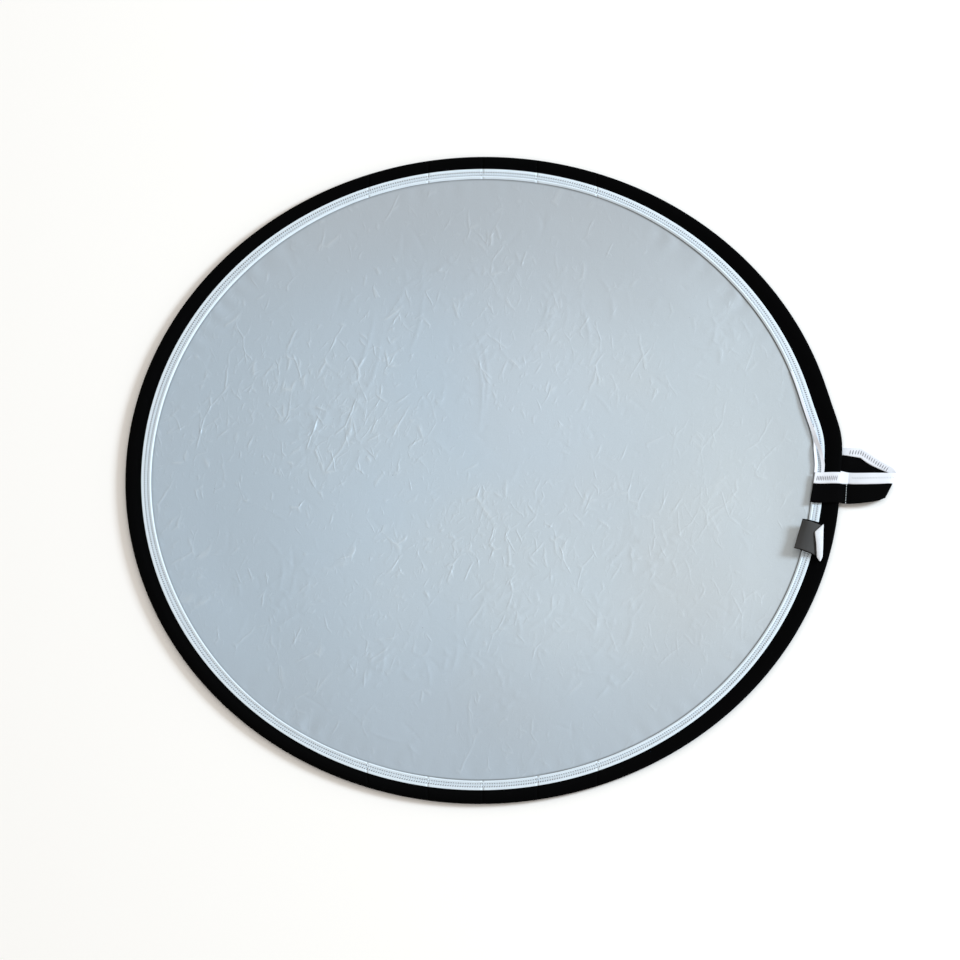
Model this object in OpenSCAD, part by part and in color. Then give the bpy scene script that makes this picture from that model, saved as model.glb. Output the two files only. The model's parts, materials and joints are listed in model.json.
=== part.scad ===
// Collapsible reflector disc: a cloth disc held open by a closed spring-steel hoop, with a strap handle.
// The disc lies flat with its silver face up. The origin is on its axis, in the plane that it rests on.
// The disc is divided into seven bands across X, so that it can fold up into a U about lines parallel to Y.

/* [Disc] */
// Outside diameter of the rim
disc_d = 800; // [600:10:1100]
// Thickness of the rim, front to back
rim_t = 8; // [7:0.5:9]
// Width of the dark rim casing seen outside the tape
casing_w = 17; // [16:0.5:22]
// Width of the white binding tape
tape_w = 12.5; // [10:0.5:16]
// Thickness of the binding tape
tape_t = 0.8; // [0.4:0.1:1]
// Thickness of each panel cloth
cloth_t = 0.5; // [0.3:0.1:0.6]

/* [Hoop] */
// Height of the spring-steel band
band_h = 4; // [3:0.25:4.5]
// Thickness of the spring-steel band
band_t = 0.8; // [0.5:0.1:1]
// Length of the crimped sleeve that joins the band's ends
ferrule_len = 36; // [20:1:60]

/* [Fold] */
// Distance of the first fold line from the middle
fold_1 = 30; // [25:1:40]
// Distance of the second fold line from the middle
fold_2 = 92; // [85:1:110]
// Distance of the third fold line from the middle
fold_3 = 164; // [150:1:190]
// Space left across each fold line in the rim
rim_gap = 3.4; // [3.2:0.1:5]
// Space left across each fold line in the cloth
cloth_gap = 0.6; // [0.6:0.1:2]

/* [Handle] */
// Width of the handle strap
strap_w = 36.5; // [30:0.5:45]
// Thickness of the handle strap
strap_t = 1; // [0.8:0.1:1]
// Width of the white edge on the outside of the strap
strap_edge_w = 14; // [10:0.5:18]
// Reach of the loop beyond the rim
loop_reach = 65; // [55:1:90]
// Sideways shift of the loop's lower leg
loop_skew = 33; // [0:0.5:34]

/* [Label] */
// Length of the label along the rim
label_w = 35; // [25:1:45]
// Reach of the label from its sewn edge
label_len = 27; // [18:1:30]
// Tilt of the label above the cloth
label_tilt = 25; // [20:1:40]

/* [Hidden] */
SIDES = ["left_outer", "left_middle", "left_inner", "centre", "right_inner", "right_middle", "right_outer"];
RING_PARTS = ["hoop_band", "rim_casing", "front_binding", "back_binding", "silver_panel", "white_panel"];

disc_r = disc_d / 2;
mid_z = rim_t / 2;
far = 2 * disc_d;                       // longer than anything it cuts
round_fn = 240;
small_fn = 48;

// Rim cross-section, as radii and heights
wall = 1.2;                             // cloth of the casing, with its turnings
casing_in_r = disc_r - casing_w;        // where the tape's outer edge lies on the casing
flange_in_r = casing_in_r - tape_w + 1.5;
panel_r = casing_in_r - 2;
flange_t = 0.8;
crown_r = disc_r - 9;                   // the casing reaches its full thickness here
corner_r = 2;
lip_z = cloth_t + flange_t;             // half thickness of the sewn edge
pocket_in_r = crown_r - 5;
mouth_slack = 0.2;                      // room round the panels' edge in the casing's mouth
seat_slack = 0.1;                       // room round the strap where it is pressed into the casing

// Tape cross-section
tape_in_r = casing_in_r - tape_w;
tape_top_z = lip_z + tape_t;            // above the middle plane
roll_w = 1.9;                           // width of the rolled inner edge
roll_up = 0.2;                          // rise of the rolled edge above the tape
roll_soft = 0.4;                        // rounding of the rolled edge
tail_t = 0.5;                           // the tape's end, laid over its own start
tail_from = 1.6;                        // degrees round the rim
tail_to = 10.5;

// Hoop, ferrule and wrap
hoop_r = disc_r - 2.4;                  // middle of the spring band
end_gap = 0.4;                          // between the band's two ends
sleeve_fit = 0.04;
sleeve_wall = 0.3;
wrap_t = 0.2;
wrap_over = 1;                          // degrees by which the wrap passes the sleeve at each end
ferrule_half = ferrule_len / 2 / hoop_r * 180 / PI;

// Folds: limits of each band across X, in the order of SIDES
CUTS = [-disc_r - 1, -fold_3, -fold_2, -fold_1, fold_1, fold_2, fold_3, disc_r + 1];

// Handle, along the strap's own run
tab_in_x = disc_r - 24;
sewn_x = disc_r + 6.5;                  // the two tabs meet from here
tab_end_x = disc_r + 10.4;
pivot_x = tab_end_x + 1.2;
loop_in_x = pivot_x + 1.2;
loop_flat_x = disc_r + 20;              // the legs are level from here
loop_tip_x = disc_r + loop_reach;
strap_top_y = 3.5;                      // upper edge of the strap's front run
strap_low_y = strap_top_y - strap_w;
back_top_y = strap_top_y + loop_skew;
back_low_y = back_top_y - strap_w;
loop_bend_x = disc_r + 26;              // the lower leg turns towards the tip here
join_x = loop_in_x + 1.2;               // the legs are one thickness up to here, then part
join_step = 0.2;                        // by which each leg stands off the other's face in that stretch
tip_top = [loop_tip_x, strap_top_y];
tip_low = [loop_tip_x - 14, strap_low_y + 6];
tip_wall = [-1.2, 0.3];                 // from the tip's outer face to its inner one
strap_seat = 0.85;                      // depth that the strap's lower run is pressed into the casing
lay = 0.1;                              // the front run lies this much clear of the tape and the rim
edging_t = 0.4;
inside_w = 8;                           // width of the white edge on the inside of the lower leg
stitch_count = 9;
stitch_r = 0.35;
stitch_len = 0.6;                       // as a share of the pitch
seam_x = disc_r + 8.4;                  // the row that closes the tabs

// Strap lines, as [x, z] of the lower face
rise_z = mid_z + lip_z + tape_t + lay;
FRONT_RUN = [
    [tab_in_x, rise_z], [tab_in_x + 3, rise_z], [disc_r - 12.5, rim_t + lay], [disc_r + 1, rim_t + lay],
    [sewn_x, mid_z], [tab_end_x, mid_z]];
BACK_RUN = [
    [tab_in_x, 0], [disc_r + 1.5, 0], [sewn_x, mid_z - strap_t], [tab_end_x, mid_z - strap_t]];
UPPER_RAMP = [
    [loop_in_x, mid_z - join_step], [join_x, mid_z - join_step], [loop_flat_x, rim_t - strap_t]];
LOWER_RAMP = [
    [loop_in_x, mid_z - strap_t + join_step], [join_x, mid_z - strap_t + join_step], [loop_flat_x, 0]];

// Label, sewn at this angle round the rim
label_angle = -11.6;
label_r = disc_r - 14;
label_z = rim_t - 0.4;
ply_t = 0.5;
ply_angle = 2.2;                        // degrees between the two plies
ply_start = 1.2;                        // from the seam to the upper ply
label_thread_z = -1.05;                 // the seam's thread, below the sewn edge

module band_box(i, gap) {
    low = CUTS[i] + (i > 0 ? gap / 2 : 0);
    high = CUTS[i + 1] - (i < len(SIDES) - 1 ? gap / 2 : 0);
    translate([low, -far / 2, -far / 2]) cube([high - low, far, far]);
}

// A ring of the given half section, cut to one band of the disc
module ring_band(i) {
    intersection() {
        rotate_extrude($fn = round_fn) children();
        band_box(i, rim_gap);
    }
}

module casing_outline() {
    core_r = disc_r - corner_r;
    polygon([
        [flange_in_r, -lip_z], [casing_in_r, -lip_z], [crown_r, -mid_z], [core_r, -mid_z],
        [core_r, mid_z], [crown_r, mid_z], [casing_in_r, lip_z], [flange_in_r, lip_z]]);
    translate([core_r - corner_r, corner_r - mid_z]) square([2 * corner_r, rim_t - 2 * corner_r]);
    for (side = [-1, 1])
        translate([core_r, side * (mid_z - corner_r)]) circle(r = corner_r, $fn = small_fn);
}

module casing_pocket() {
    half = mid_z - wall;
    polygon([
        [pocket_in_r, 0], [crown_r, half], [disc_r - wall, half],
        [disc_r - wall, -half], [crown_r, -half]]);
}

module casing_mouth() {
    in_r = flange_in_r - 1;
    translate([in_r, -cloth_t]) square([panel_r + mouth_slack - in_r, 2 * cloth_t]);
}

module casing_ring(i) {
    ring_band(i)
        translate([0, mid_z]) difference() {
            casing_outline();
            casing_pocket();
            casing_mouth();
        }
}

// The dark cloth casing: a folded strip with the hoop in its pocket and the panels in its mouth
module rim_casing(i) {
    color("#0b0b0d")
        if (i == len(SIDES) - 1)
            difference() {
                casing_ring(i);
                translate([tab_in_x - 1, back_low_y - seat_slack, -1])
                    cube([disc_r + 2 - tab_in_x, strap_w + 2 * seat_slack, 1 + strap_seat]);
            }
        else
            casing_ring(i);
}

// The closed spring band that opens the disc; its two ends meet inside the ferrule
module hoop_band(i) {
    color("#8d9196")
        difference() {
            ring_band(i)
                translate([hoop_r - band_t / 2, mid_z - band_h / 2]) square([band_t, band_h]);
            translate([hoop_r - band_t, -end_gap / 2, 0]) cube([2 * band_t, end_gap, rim_t]);
        }
}

// White tape sewn over the join of casing and panel, with a thicker, rolled inner edge
module tape_section() {
    low_z = cloth_t + 0.05;
    roll_z = tape_top_z + roll_up;
    heel_r = flange_in_r - 0.1;         // the roll fills the step inside the casing's edge
    polygon([
        [tape_in_r, low_z + roll_soft], [tape_in_r + roll_soft, low_z], [heel_r, low_z],
        [heel_r, lip_z], [casing_in_r, lip_z], [casing_in_r, tape_top_z],
        [tape_in_r + roll_w + roll_soft, tape_top_z], [tape_in_r + roll_w, roll_z],
        [tape_in_r + roll_soft, roll_z], [tape_in_r, roll_z - roll_soft]]);
}

module front_binding(i) {
    color("#f2f3f6") ring_band(i) translate([0, mid_z]) tape_section();
}

module back_binding(i) {
    color("#f2f3f6") ring_band(i) translate([0, mid_z]) mirror([0, 1]) tape_section();
}

module panel_ply(i, low_z) {
    intersection() {
        translate([0, 0, low_z]) cylinder(r = panel_r, h = cloth_t, $fn = round_fn);
        band_box(i, cloth_gap);
    }
}

module silver_panel(i) {
    color("#c3cbd0") panel_ply(i, mid_z);
}

module white_panel(i) {
    color("#eeeeea") panel_ply(i, mid_z - cloth_t);
}

// A sector of a ring section, from one angle to another
module ring_sector(from, to) {
    rotate([0, 0, from]) rotate_extrude(angle = to - from, $fn = round_fn) children();
}

module sleeve_section(grow) {
    translate([hoop_r - band_t / 2 - grow, mid_z - band_h / 2 - grow])
        square([band_t + 2 * grow, band_h + 2 * grow]);
}

// Crimped steel sleeve over the two ends of the band
module hoop_ferrule() {
    color("#b6babd")
        ring_sector(-ferrule_half, ferrule_half)
            difference() {
                sleeve_section(sleeve_fit + sleeve_wall);
                sleeve_section(sleeve_fit);
            }
}

// Cloth tape wound round the ferrule, so that its edges can't cut the casing
module ferrule_wrap() {
    color("#1d1d20")
        ring_sector(-ferrule_half - wrap_over, ferrule_half + wrap_over)
            difference() {
                sleeve_section(sleeve_fit + sleeve_wall + wrap_t);
                sleeve_section(sleeve_fit + sleeve_wall);
            }
}

// The end of the front tape, laid over its own start beside the handle
module binding_tail() {
    in_r = tape_in_r + roll_w + roll_soft;
    color("#e6e8ee")
        ring_sector(tail_from, tail_to)
            translate([in_r, mid_z + tape_top_z]) square([casing_in_r - 1 - in_r, tail_t]);
}

// A strap laid along a line of [x, z] points, each the strap's lower face, from low_y to high_y
module strap_run(points, low_y, high_y, t) {
    n = len(points);
    translate([0, high_y, 0]) rotate([90, 0, 0])
        linear_extrude(high_y - low_y)
            polygon(concat(points, [for (k = [n - 1:-1:0]) points[k] + [0, t]]));
}

// Dark strap run over the front of the rim
module handle_front_tab() {
    color("#0d0d10") strap_run(FRONT_RUN, strap_low_y, strap_top_y, strap_t);
}

// Dark strap run under the rim, pressed into the casing
module handle_back_tab() {
    color("#0d0d10") intersection() {
        strap_run(BACK_RUN, back_low_y, back_top_y, strap_seat - 0.05);
        translate([0, -far / 2, 0]) cube([far, far, rim_t]);
    }
}

// White edge of the two tabs: on the face of the front one, and along the outer end of the back one
module handle_tab_edging() {
    lifted = [for (p = FRONT_RUN) p + [0, strap_t]];
    back_lifted = [for (p = [BACK_RUN[1] + [0.5, 0.6], BACK_RUN[2], BACK_RUN[3]]) p + [0, strap_seat]];
    color("#eceef2") {
        strap_run(lifted, strap_top_y - strap_edge_w, strap_top_y, edging_t);
        strap_run(back_lifted, strap_top_y + 1, back_top_y, edging_t);
    }
}

// A row of stitches along Y, each a thread with its lower side flat on the cloth
module stitch_row(first_y, pitch) {
    for (k = [0:stitch_count - 1])
        translate([0, first_y + k * pitch, 0]) rotate([-90, 0, 0])
            linear_extrude(pitch * stitch_len)
                intersection() {
                    circle(r = stitch_r, $fn = small_fn);
                    translate([-stitch_r, -2 * stitch_r]) square(2 * stitch_r);
                }
}

// Row of thread stitches that closes the two tabs beside the rim
module handle_stitch_row() {
    color("#f4f4f4")
        translate([seam_x, 0, mid_z + strap_t])
            stitch_row(strap_low_y + 1.5, (strap_w - strap_edge_w - 2) / stitch_count);
}

// Outline of the strap's upper leg beyond the pivot, seen from above
module upper_leg(top_y, low_y) {
    intersection() {
        polygon([
            [loop_flat_x - 0.5, strap_low_y], [disc_r + 36, strap_low_y + 1.2], tip_low, tip_top,
            [loop_tip_x - 4, strap_top_y], [loop_flat_x - 0.5, strap_top_y]]);
        translate([loop_flat_x - 0.5, low_y]) square([loop_reach, top_y - low_y]);
    }
}

// Outline of the lower leg, which is set to one side and turns back to the tip
module lower_leg() {
    polygon([
        [loop_flat_x - 0.5, back_low_y], [loop_bend_x, back_low_y], tip_low, tip_top,
        [loop_tip_x - 4, (strap_top_y + back_top_y) / 2 - 7], [loop_bend_x, back_top_y],
        [loop_flat_x - 0.5, back_top_y]]);
}

module upper_slab() {
    translate([0, 0, rim_t - strap_t]) linear_extrude(strap_t) upper_leg(strap_top_y, strap_low_y);
}

// The turned end of the loop, seen from above
module loop_tip() {
    polygon([tip_low, tip_top, tip_top + tip_wall, tip_low + tip_wall]);
}

// The dark strap loop that is held or hung up: two legs joined by a turned tip
module handle_loop() {
    color("#0d0d10") {
        strap_run(UPPER_RAMP, strap_low_y, strap_top_y, strap_t);
        strap_run(LOWER_RAMP, back_low_y, back_top_y, strap_t);
        upper_slab();
        linear_extrude(strap_t) lower_leg();
        linear_extrude(rim_t) loop_tip();
    }
}

// White edge of the loop, on the outside of the upper leg and the inside of the lower one
module handle_loop_edging() {
    lifted = [for (k = [1, 2]) UPPER_RAMP[k] + [0, strap_t]];
    color("#eceef2") {
        difference() {
            strap_run(lifted, strap_top_y - strap_edge_w, strap_top_y, edging_t);
            upper_slab();
        }
        translate([0, 0, rim_t])
            linear_extrude(edging_t) upper_leg(strap_top_y, strap_top_y - strap_edge_w);
        translate([0, 0, strap_t]) linear_extrude(edging_t)
            difference() {
                intersection() {
                    lower_leg();
                    polygon([
                        [loop_flat_x, back_top_y - inside_w], [loop_bend_x - 2, back_top_y - inside_w],
                        [loop_tip_x - 9, strap_top_y + 2], [loop_tip_x - 2.5, strap_top_y],
                        [loop_tip_x, back_top_y], [loop_flat_x, back_top_y]]);
                }
                loop_tip();
            }
    }
}

// Places a label part: +X towards the middle of the disc, Y along the rim, tilted about the sewn edge
module at_label(tilt) {
    rotate([0, 0, label_angle]) translate([label_r, 0, label_z])
        rotate([0, 0, 180]) rotate([0, -tilt, 0]) children();
}

// Upper ply of the folded label
module label_front() {
    color("#57585b") at_label(label_tilt)
        translate([ply_start, -label_w / 2, 0]) cube([label_len - ply_start, label_w, ply_t]);
}

// Lower ply of the folded label, which returns to the sewn edge
module label_back() {
    color("#d9dce2") at_label(label_tilt - ply_angle)
        translate([ply_start + 0.4, 0.5 - label_w / 2, -ply_t])
            cube([label_len - ply_start - 1, label_w - 1, ply_t]);
}

// Corner of the label left outside its seam, lying on the casing
module label_tail() {
    color("#eef0f4")
        rotate([0, 0, label_angle]) translate([0, 0, rim_t + lay])
            linear_extrude(ply_t)
                polygon([[label_r + 2, 12], [label_r + 7, 13.5], [label_r + 8, -15], [label_r + 5.5, -18]]);
}

// Thread that holds the label's two ends in the seam
module label_stitch_row() {
    pitch = label_w / stitch_count;
    color("#26262a") at_label(0)
        translate([0, 0, label_thread_z]) stitch_row((0.2 * pitch) - label_w / 2, pitch);
}

for (i = [0:len(SIDES) - 1]) {
    hoop_band(i);
    rim_casing(i);
    front_binding(i);
    back_binding(i);
    silver_panel(i);
    white_panel(i);
}
hoop_ferrule();
ferrule_wrap();
binding_tail();
handle_front_tab();
handle_back_tab();
handle_tab_edging();
handle_stitch_row();
handle_loop();
handle_loop_edging();
label_front();
label_back();
label_tail();
label_stitch_row();
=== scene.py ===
"""Collapsible reflector disc: silver cloth on a sprung hoop, black rim casing, white tape, strap handle.

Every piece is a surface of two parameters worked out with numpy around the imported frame, in metres.
"""
import json
import math

import bpy
import numpy as np
from bpy.props import FloatProperty, FloatVectorProperty, IntProperty, PointerProperty
from bpy.types import Operator, Panel, PropertyGroup
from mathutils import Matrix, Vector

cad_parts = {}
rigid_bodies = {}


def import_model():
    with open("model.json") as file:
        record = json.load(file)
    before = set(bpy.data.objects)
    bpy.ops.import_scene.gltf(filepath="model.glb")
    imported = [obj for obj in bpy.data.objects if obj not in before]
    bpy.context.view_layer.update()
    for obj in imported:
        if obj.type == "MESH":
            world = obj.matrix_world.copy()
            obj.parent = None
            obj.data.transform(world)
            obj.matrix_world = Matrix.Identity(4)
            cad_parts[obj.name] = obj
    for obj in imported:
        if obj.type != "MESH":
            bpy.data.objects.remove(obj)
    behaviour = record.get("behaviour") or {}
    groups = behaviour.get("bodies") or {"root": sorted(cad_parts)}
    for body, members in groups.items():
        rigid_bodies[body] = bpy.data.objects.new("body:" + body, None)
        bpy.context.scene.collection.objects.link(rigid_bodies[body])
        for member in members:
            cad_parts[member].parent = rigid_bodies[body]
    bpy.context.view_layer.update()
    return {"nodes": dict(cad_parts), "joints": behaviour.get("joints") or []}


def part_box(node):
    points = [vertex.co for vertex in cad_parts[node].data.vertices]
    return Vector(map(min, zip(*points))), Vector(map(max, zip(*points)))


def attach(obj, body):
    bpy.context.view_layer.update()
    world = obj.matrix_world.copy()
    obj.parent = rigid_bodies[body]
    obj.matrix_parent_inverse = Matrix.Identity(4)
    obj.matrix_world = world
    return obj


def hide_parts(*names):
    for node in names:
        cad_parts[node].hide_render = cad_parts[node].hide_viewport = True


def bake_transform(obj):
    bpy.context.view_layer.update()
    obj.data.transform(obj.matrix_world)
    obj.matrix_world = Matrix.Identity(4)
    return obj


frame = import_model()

bl_info = {
    "name": "Collapsible Reflector Disc",
    "version": (1, 0, 0),
    "blender": (4, 5, 0),
    "location": "View3D > Sidebar > Reflector",
    "description": "Builds the cloth, rim, tape, handle and label of a reflector disc around its frame",
    "category": "Add Mesh",
}

MM = 0.001

# ---------------------------------------------------------------- places taken from the frame

SIDES = ["left_outer", "left_middle", "left_inner", "centre", "right_inner", "right_middle", "right_outer"]
RIM_RADIUS = -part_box("rim_casing_left_outer")[0].x
RIM_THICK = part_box("rim_casing_left_outer")[1].z
MID_Z = RIM_THICK / 2
TAPE_RADIUS = -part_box("front_binding_left_outer")[0].x
CLOTH_RADIUS = -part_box("silver_panel_left_outer")[0].x
CLOTH_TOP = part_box("silver_panel_centre")[1].z
CLOTH_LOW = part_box("white_panel_centre")[0].z
TAPE_SEAT = MID_Z + 1.3 * MM

# ---------------------------------------------------------------- small fixed sizes

# Lowest height of any point, just clear of the floor
FLOOR_GAP = 0.02 * MM
# How far the tape lies out over the casing's turned-in edge
TAPE_OVERLAP = 0.2 * MM
# Places across the tape, as shares of its width from its outer edge
LADDER_AT, STRAIGHT_ROW_AT, BEAD_AT = 0.34, 0.655, 0.86
# Thickness of one ply of the label
PLY = 0.35 * MM
# Half the side of the square floor
FLOOR_HALF = 9.0
# Place and side of the square key light
KEY_PLACE, KEY_SIZE = (4.2, 1.0, 2.4), 1.3
# Seeds of the creases and of the slow waves in the cloth
CREASE_SEED, WAVE_SEED = 11, 5
# Nets of fine creases: turn in degrees, cell width and length in millimetres, width of a crease and cover as
# shares, and strength
CREASE_NETS = [(-26, 25, 58, 0.06, 0.53, 1.0), (15, 17, 42, 0.08, 0.555, 0.8),
               (-42, 11, 27, 0.12, 0.56, 0.55), (-14, 8, 19, 0.16, 0.565, 0.35)]
# Clusters of branching creases: place as shares of the cloth's radius, number of creases, spread
CREASE_CLUSTERS = [(-0.48, 0.16, 15, 0.13), (-0.38, 0.26, 8, 0.10), (0.06, -0.42, 14, 0.14),
                   (0.02, 0.38, 8, 0.12), (-0.02, -0.62, 10, 0.16), (0.42, -0.30, 8, 0.12),
                   (0.20, 0.55, 8, 0.12), (-0.62, -0.35, 10, 0.12), (-0.30, -0.62, 10, 0.14),
                   (0.30, -0.55, 8, 0.12), (-0.15, 0.62, 6, 0.12), (0.66, 0.42, 7, 0.10)]
# Long single creases: place as shares of the cloth's radius, direction, length
LONG_CREASES = [(-0.02, 0.30, 1.62, 0.115), (0.0, 0.33, 1.60, 0.095), (-0.36, 0.42, 1.25, 0.10),
                (-0.33, 0.36, 1.3, 0.09), (-0.20, 0.50, 1.35, 0.08), (0.30, 0.50, 1.75, 0.06),
                (-0.55, 0.05, 0.8, 0.05), (0.08, -0.36, 0.7, 0.05)]


def fold_lines():
    """X of the fold line between each pair of neighbouring bodies, from left to right."""
    between = {frozenset((j["parent"], j["child"])): j["pos_m"][0] for j in frame["joints"] if "pos_m" in j}
    return [between[frozenset(pair)] for pair in zip(SIDES[:-1], SIDES[1:])]


class Band:
    """One fold line's share of the disc: the cloth between the middles of the two bodies it joins."""

    def __init__(self, number, folds):
        middles = [(a + b) / 2 for a, b in zip(folds[:-1], folds[1:])]
        self.bodies = (SIDES[number], SIDES[number + 1])
        self.low = middles[number - 1] if number > 0 else None
        self.high = middles[number] if number < len(folds) - 1 else None
        fold = folds[number]
        self.start = self.low if self.low is not None else 2 * fold - self.high
        self.end = self.high if self.high is not None else 2 * fold - self.low
        self.label = f"{self.bodies[0]}_to_{self.bodies[1]}"

    def spans(self):
        """The band's arcs of the rim, each a function from a radius to its first and last angle."""
        low, high = self.low, self.high
        if low is None:
            return [lambda r: (crossing(high, r), 2 * math.pi - crossing(high, r))]
        if high is None:
            return [lambda r: (-crossing(low, r), crossing(low, r))]
        return [lambda r: (crossing(high, r), crossing(low, r)),
                lambda r: (-crossing(low, r), -crossing(high, r))]

    def holds(self, x):
        """Whether each x lies in this band."""
        inside = np.ones(np.shape(x), bool)
        if self.low is not None:
            inside &= x >= self.low
        if self.high is not None:
            inside &= x < self.high
        return inside

    def reach(self, edge):
        """First and last x of the band on a disc that ends at minus and plus edge."""
        low = self.low if self.low is not None else -edge
        high = self.high if self.high is not None else edge
        return low, high

    def join(self, piece):
        """Bakes the piece's transform into its points."""
        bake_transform(piece)


def crossing(x, radius):
    """Angle at which a circle of each radius crosses the plane at x: the arc cosine of their ratio."""
    return np.arccos(np.clip(x / radius, -1, 1))


FOLDS = fold_lines()
BANDS = [Band(number, FOLDS) for number in range(len(FOLDS))]


# ---------------------------------------------------------------- settings

def length(name, words, value):
    """A length property, in metres."""
    return FloatProperty(name=name, description=words, default=value, min=0, unit="LENGTH")


def colour(name, words, value):
    """A colour property, linear, with alpha."""
    return FloatVectorProperty(name=name, description=words, default=(*value, 1), size=4, min=0, max=1,
                               subtype="COLOR")


class ReflectorClothSettings(PropertyGroup):
    cell: length("Cell", "Distance between points of the silver cloth", 1.6 * MM)
    crease_height: length("Crease height", "Height of a sharp crease", 0.55 * MM)
    crease_count: IntProperty(name="Creases", description="Creases scattered over the cloth", default=300)
    swell: length("Swell", "Height of the slow waves in the taut cloth", 1.1 * MM)
    pucker: length("Pucker", "Height of the gathers beside the tape", 0.38 * MM)
    silver: colour("Silver", "Colour of the coated face", (0.49, 0.605, 0.735))
    silver_warm: colour("Warm silver", "Colour of the face where it catches warm light", (0.59, 0.63, 0.66))
    silver_pink: colour("Pink silver", "Faint blush of the coating", (0.52, 0.565, 0.64))
    # The next three colours are painted shade, laid on the face by place.
    silver_falloff_shade: colour("Edge silver", "Colour of the face far from its middle", (0.405, 0.50, 0.61))
    silver_back_shade: colour("Back silver", "Colour of the face along its back edge", (0.42, 0.44, 0.475))
    silver_front_shade: colour("Front silver", "Colour of the face along its front edge", (0.39, 0.45, 0.53))
    # Painted highlight along the crests of the creases.
    crest_highlight: colour("Highlight", "Colour of the coating along the crest of a crease", (0.80, 0.86, 0.90))
    white: colour("White", "Colour of the back cloth", (0.80, 0.80, 0.78))


class ReflectorRimSettings(PropertyGroup):
    tape_width: length("Tape width", "Width of the white tape", 11.9 * MM)
    tape_thick: length("Tape thickness", "Thickness of the tape", 0.7 * MM)
    bead: length("Bead", "Rise of the tape's rolled inner edge", 0.9 * MM)
    stitch: length("Stitch", "Distance from one stitch to the next", 2.7 * MM)
    thread: length("Thread", "Radius of the sewing thread", 0.36 * MM)
    casing: colour("Casing", "Colour of the rim casing", (0.0010, 0.0011, 0.0014))
    tape: colour("Tape", "Colour of the white tape", (0.73, 0.85, 0.975))
    thread_white: colour("White thread", "Colour of the tape's thread", (0.79, 0.89, 0.98))
    steel: colour("Steel", "Colour of the spring band", (0.45, 0.46, 0.48))


class ReflectorHandleSettings(PropertyGroup):
    strap_thick: length("Strap thickness", "Thickness of the strap", 1.0 * MM)
    edging: length("Edging", "Width of the white edge outside the strap", 13.2 * MM)
    edging_thick: length("Edging thickness", "Thickness of the white edge", 0.45 * MM)
    strap: colour("Strap", "Colour of the strap", (0.0016, 0.0016, 0.0020))
    edging_white: colour("Edging white", "Colour of the strap's white edging", (0.78, 0.82, 0.92))
    label_face: colour("Label face", "Colour of the label's grey ply", (0.027, 0.027, 0.029))
    label_back: colour("Label back", "Colour of the label's pale ply", (0.72, 0.76, 0.84))


class ReflectorStageSettings(PropertyGroup):
    floor: colour("Floor", "Colour of the floor", (0.96, 0.965, 0.99))
    lens: FloatProperty(name="Lens", description="Focal length of the camera, in millimetres", default=1000)
    elevation: FloatProperty(name="Elevation", description="Angle of the camera above the floor",
                             default=math.radians(64.8), subtype="ANGLE")
    distance: length("Distance", "Distance from the camera to the disc", 29.86)
    key_power: FloatProperty(name="Key light", description="Power of the low light at the right, in watts",
                             default=215.0)
    key_tint: colour("Key tint", "Colour of the low light", (0.82, 0.935, 1.0))
    sky: FloatProperty(name="Sky", description="Strength of the even light from all round", default=0.74)
    sky_tint: colour("Sky tint", "Colour of the even light", (1.0, 0.935, 0.84))


def settings():
    """The scene's four groups of settings, by name."""
    scene = bpy.context.scene
    return {"cloth": scene.reflector_cloth, "rim": scene.reflector_rim,
            "handle": scene.reflector_handle, "stage": scene.reflector_stage}


# ---------------------------------------------------------------- meshes from arrays

class Patch:
    """Points, their places on the cloth in metres, faces, and a shade for the material to read, 0 to 1.

    The last few faces, as many as flat says, are flat ends. The rest are smooth.
    """

    def __init__(self, points, uv, faces, shade=None, flat=0):
        self.points = np.asarray(points, float).reshape(-1, 3)
        self.uv = np.asarray(uv, float).reshape(-1, 2)
        self.faces = faces
        self.flat = flat
        self.shade = np.zeros(len(self.points)) if shade is None else np.asarray(shade, float).ravel()


def grid_faces(rows, columns, close_rows=False, close_columns=False, turn=False):
    """Four point numbers for each cell of a grid, counting along its rows; closed ways join last to first."""
    r, c = np.meshgrid(np.arange(rows if close_rows else rows - 1),
                       np.arange(columns if close_columns else columns - 1), indexing="ij")
    after_r, after_c = (r + 1) % rows, (c + 1) % columns
    corners = [r * columns + c, after_r * columns + c, after_r * columns + after_c, r * columns + after_c]
    if turn:
        corners.reverse()
    return np.stack(corners, axis=-1).reshape(-1, 4).tolist()


def build(name, patches, material, replaces=()):
    """One mesh object from patches, with a UV map in metres along the cloth and a shade on each point.

    No point goes below the floor, which the disc lies on.
    """
    points, uvs, shades, faces, smooth_faces = [], [], [], [], []
    start = 0
    for patch in patches:
        faces += [[start + k for k in face] for face in patch.faces]
        smooth_faces.append(np.arange(len(patch.faces)) < len(patch.faces) - patch.flat)
        points.append(patch.points)
        uvs.append(patch.uv)
        shades.append(patch.shade)
        start += len(patch.points)
    mesh = bpy.data.meshes.new(name)
    points = np.concatenate(points)
    points[:, 2] = np.maximum(points[:, 2], FLOOR_GAP)
    mesh.from_pydata(points.tolist(), [], faces)
    corners = np.empty(len(mesh.loops), np.int32)
    mesh.loops.foreach_get("vertex_index", corners)
    layer = mesh.uv_layers.new(name="cloth")
    layer.data.foreach_set("uv", np.concatenate(uvs)[corners].astype(np.float32).ravel())
    shade = mesh.attributes.new("shade", "FLOAT", "POINT")
    shade.data.foreach_set("value", np.concatenate(shades).astype(np.float32))
    mesh.polygons.foreach_set("use_smooth", np.concatenate(smooth_faces))
    mesh.materials.append(material)
    mesh.validate()
    mesh.update()
    piece = bpy.data.objects.new(name, mesh)
    bpy.context.scene.collection.objects.link(piece)
    if replaces:
        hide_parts(*replaces)
    return piece


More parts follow.
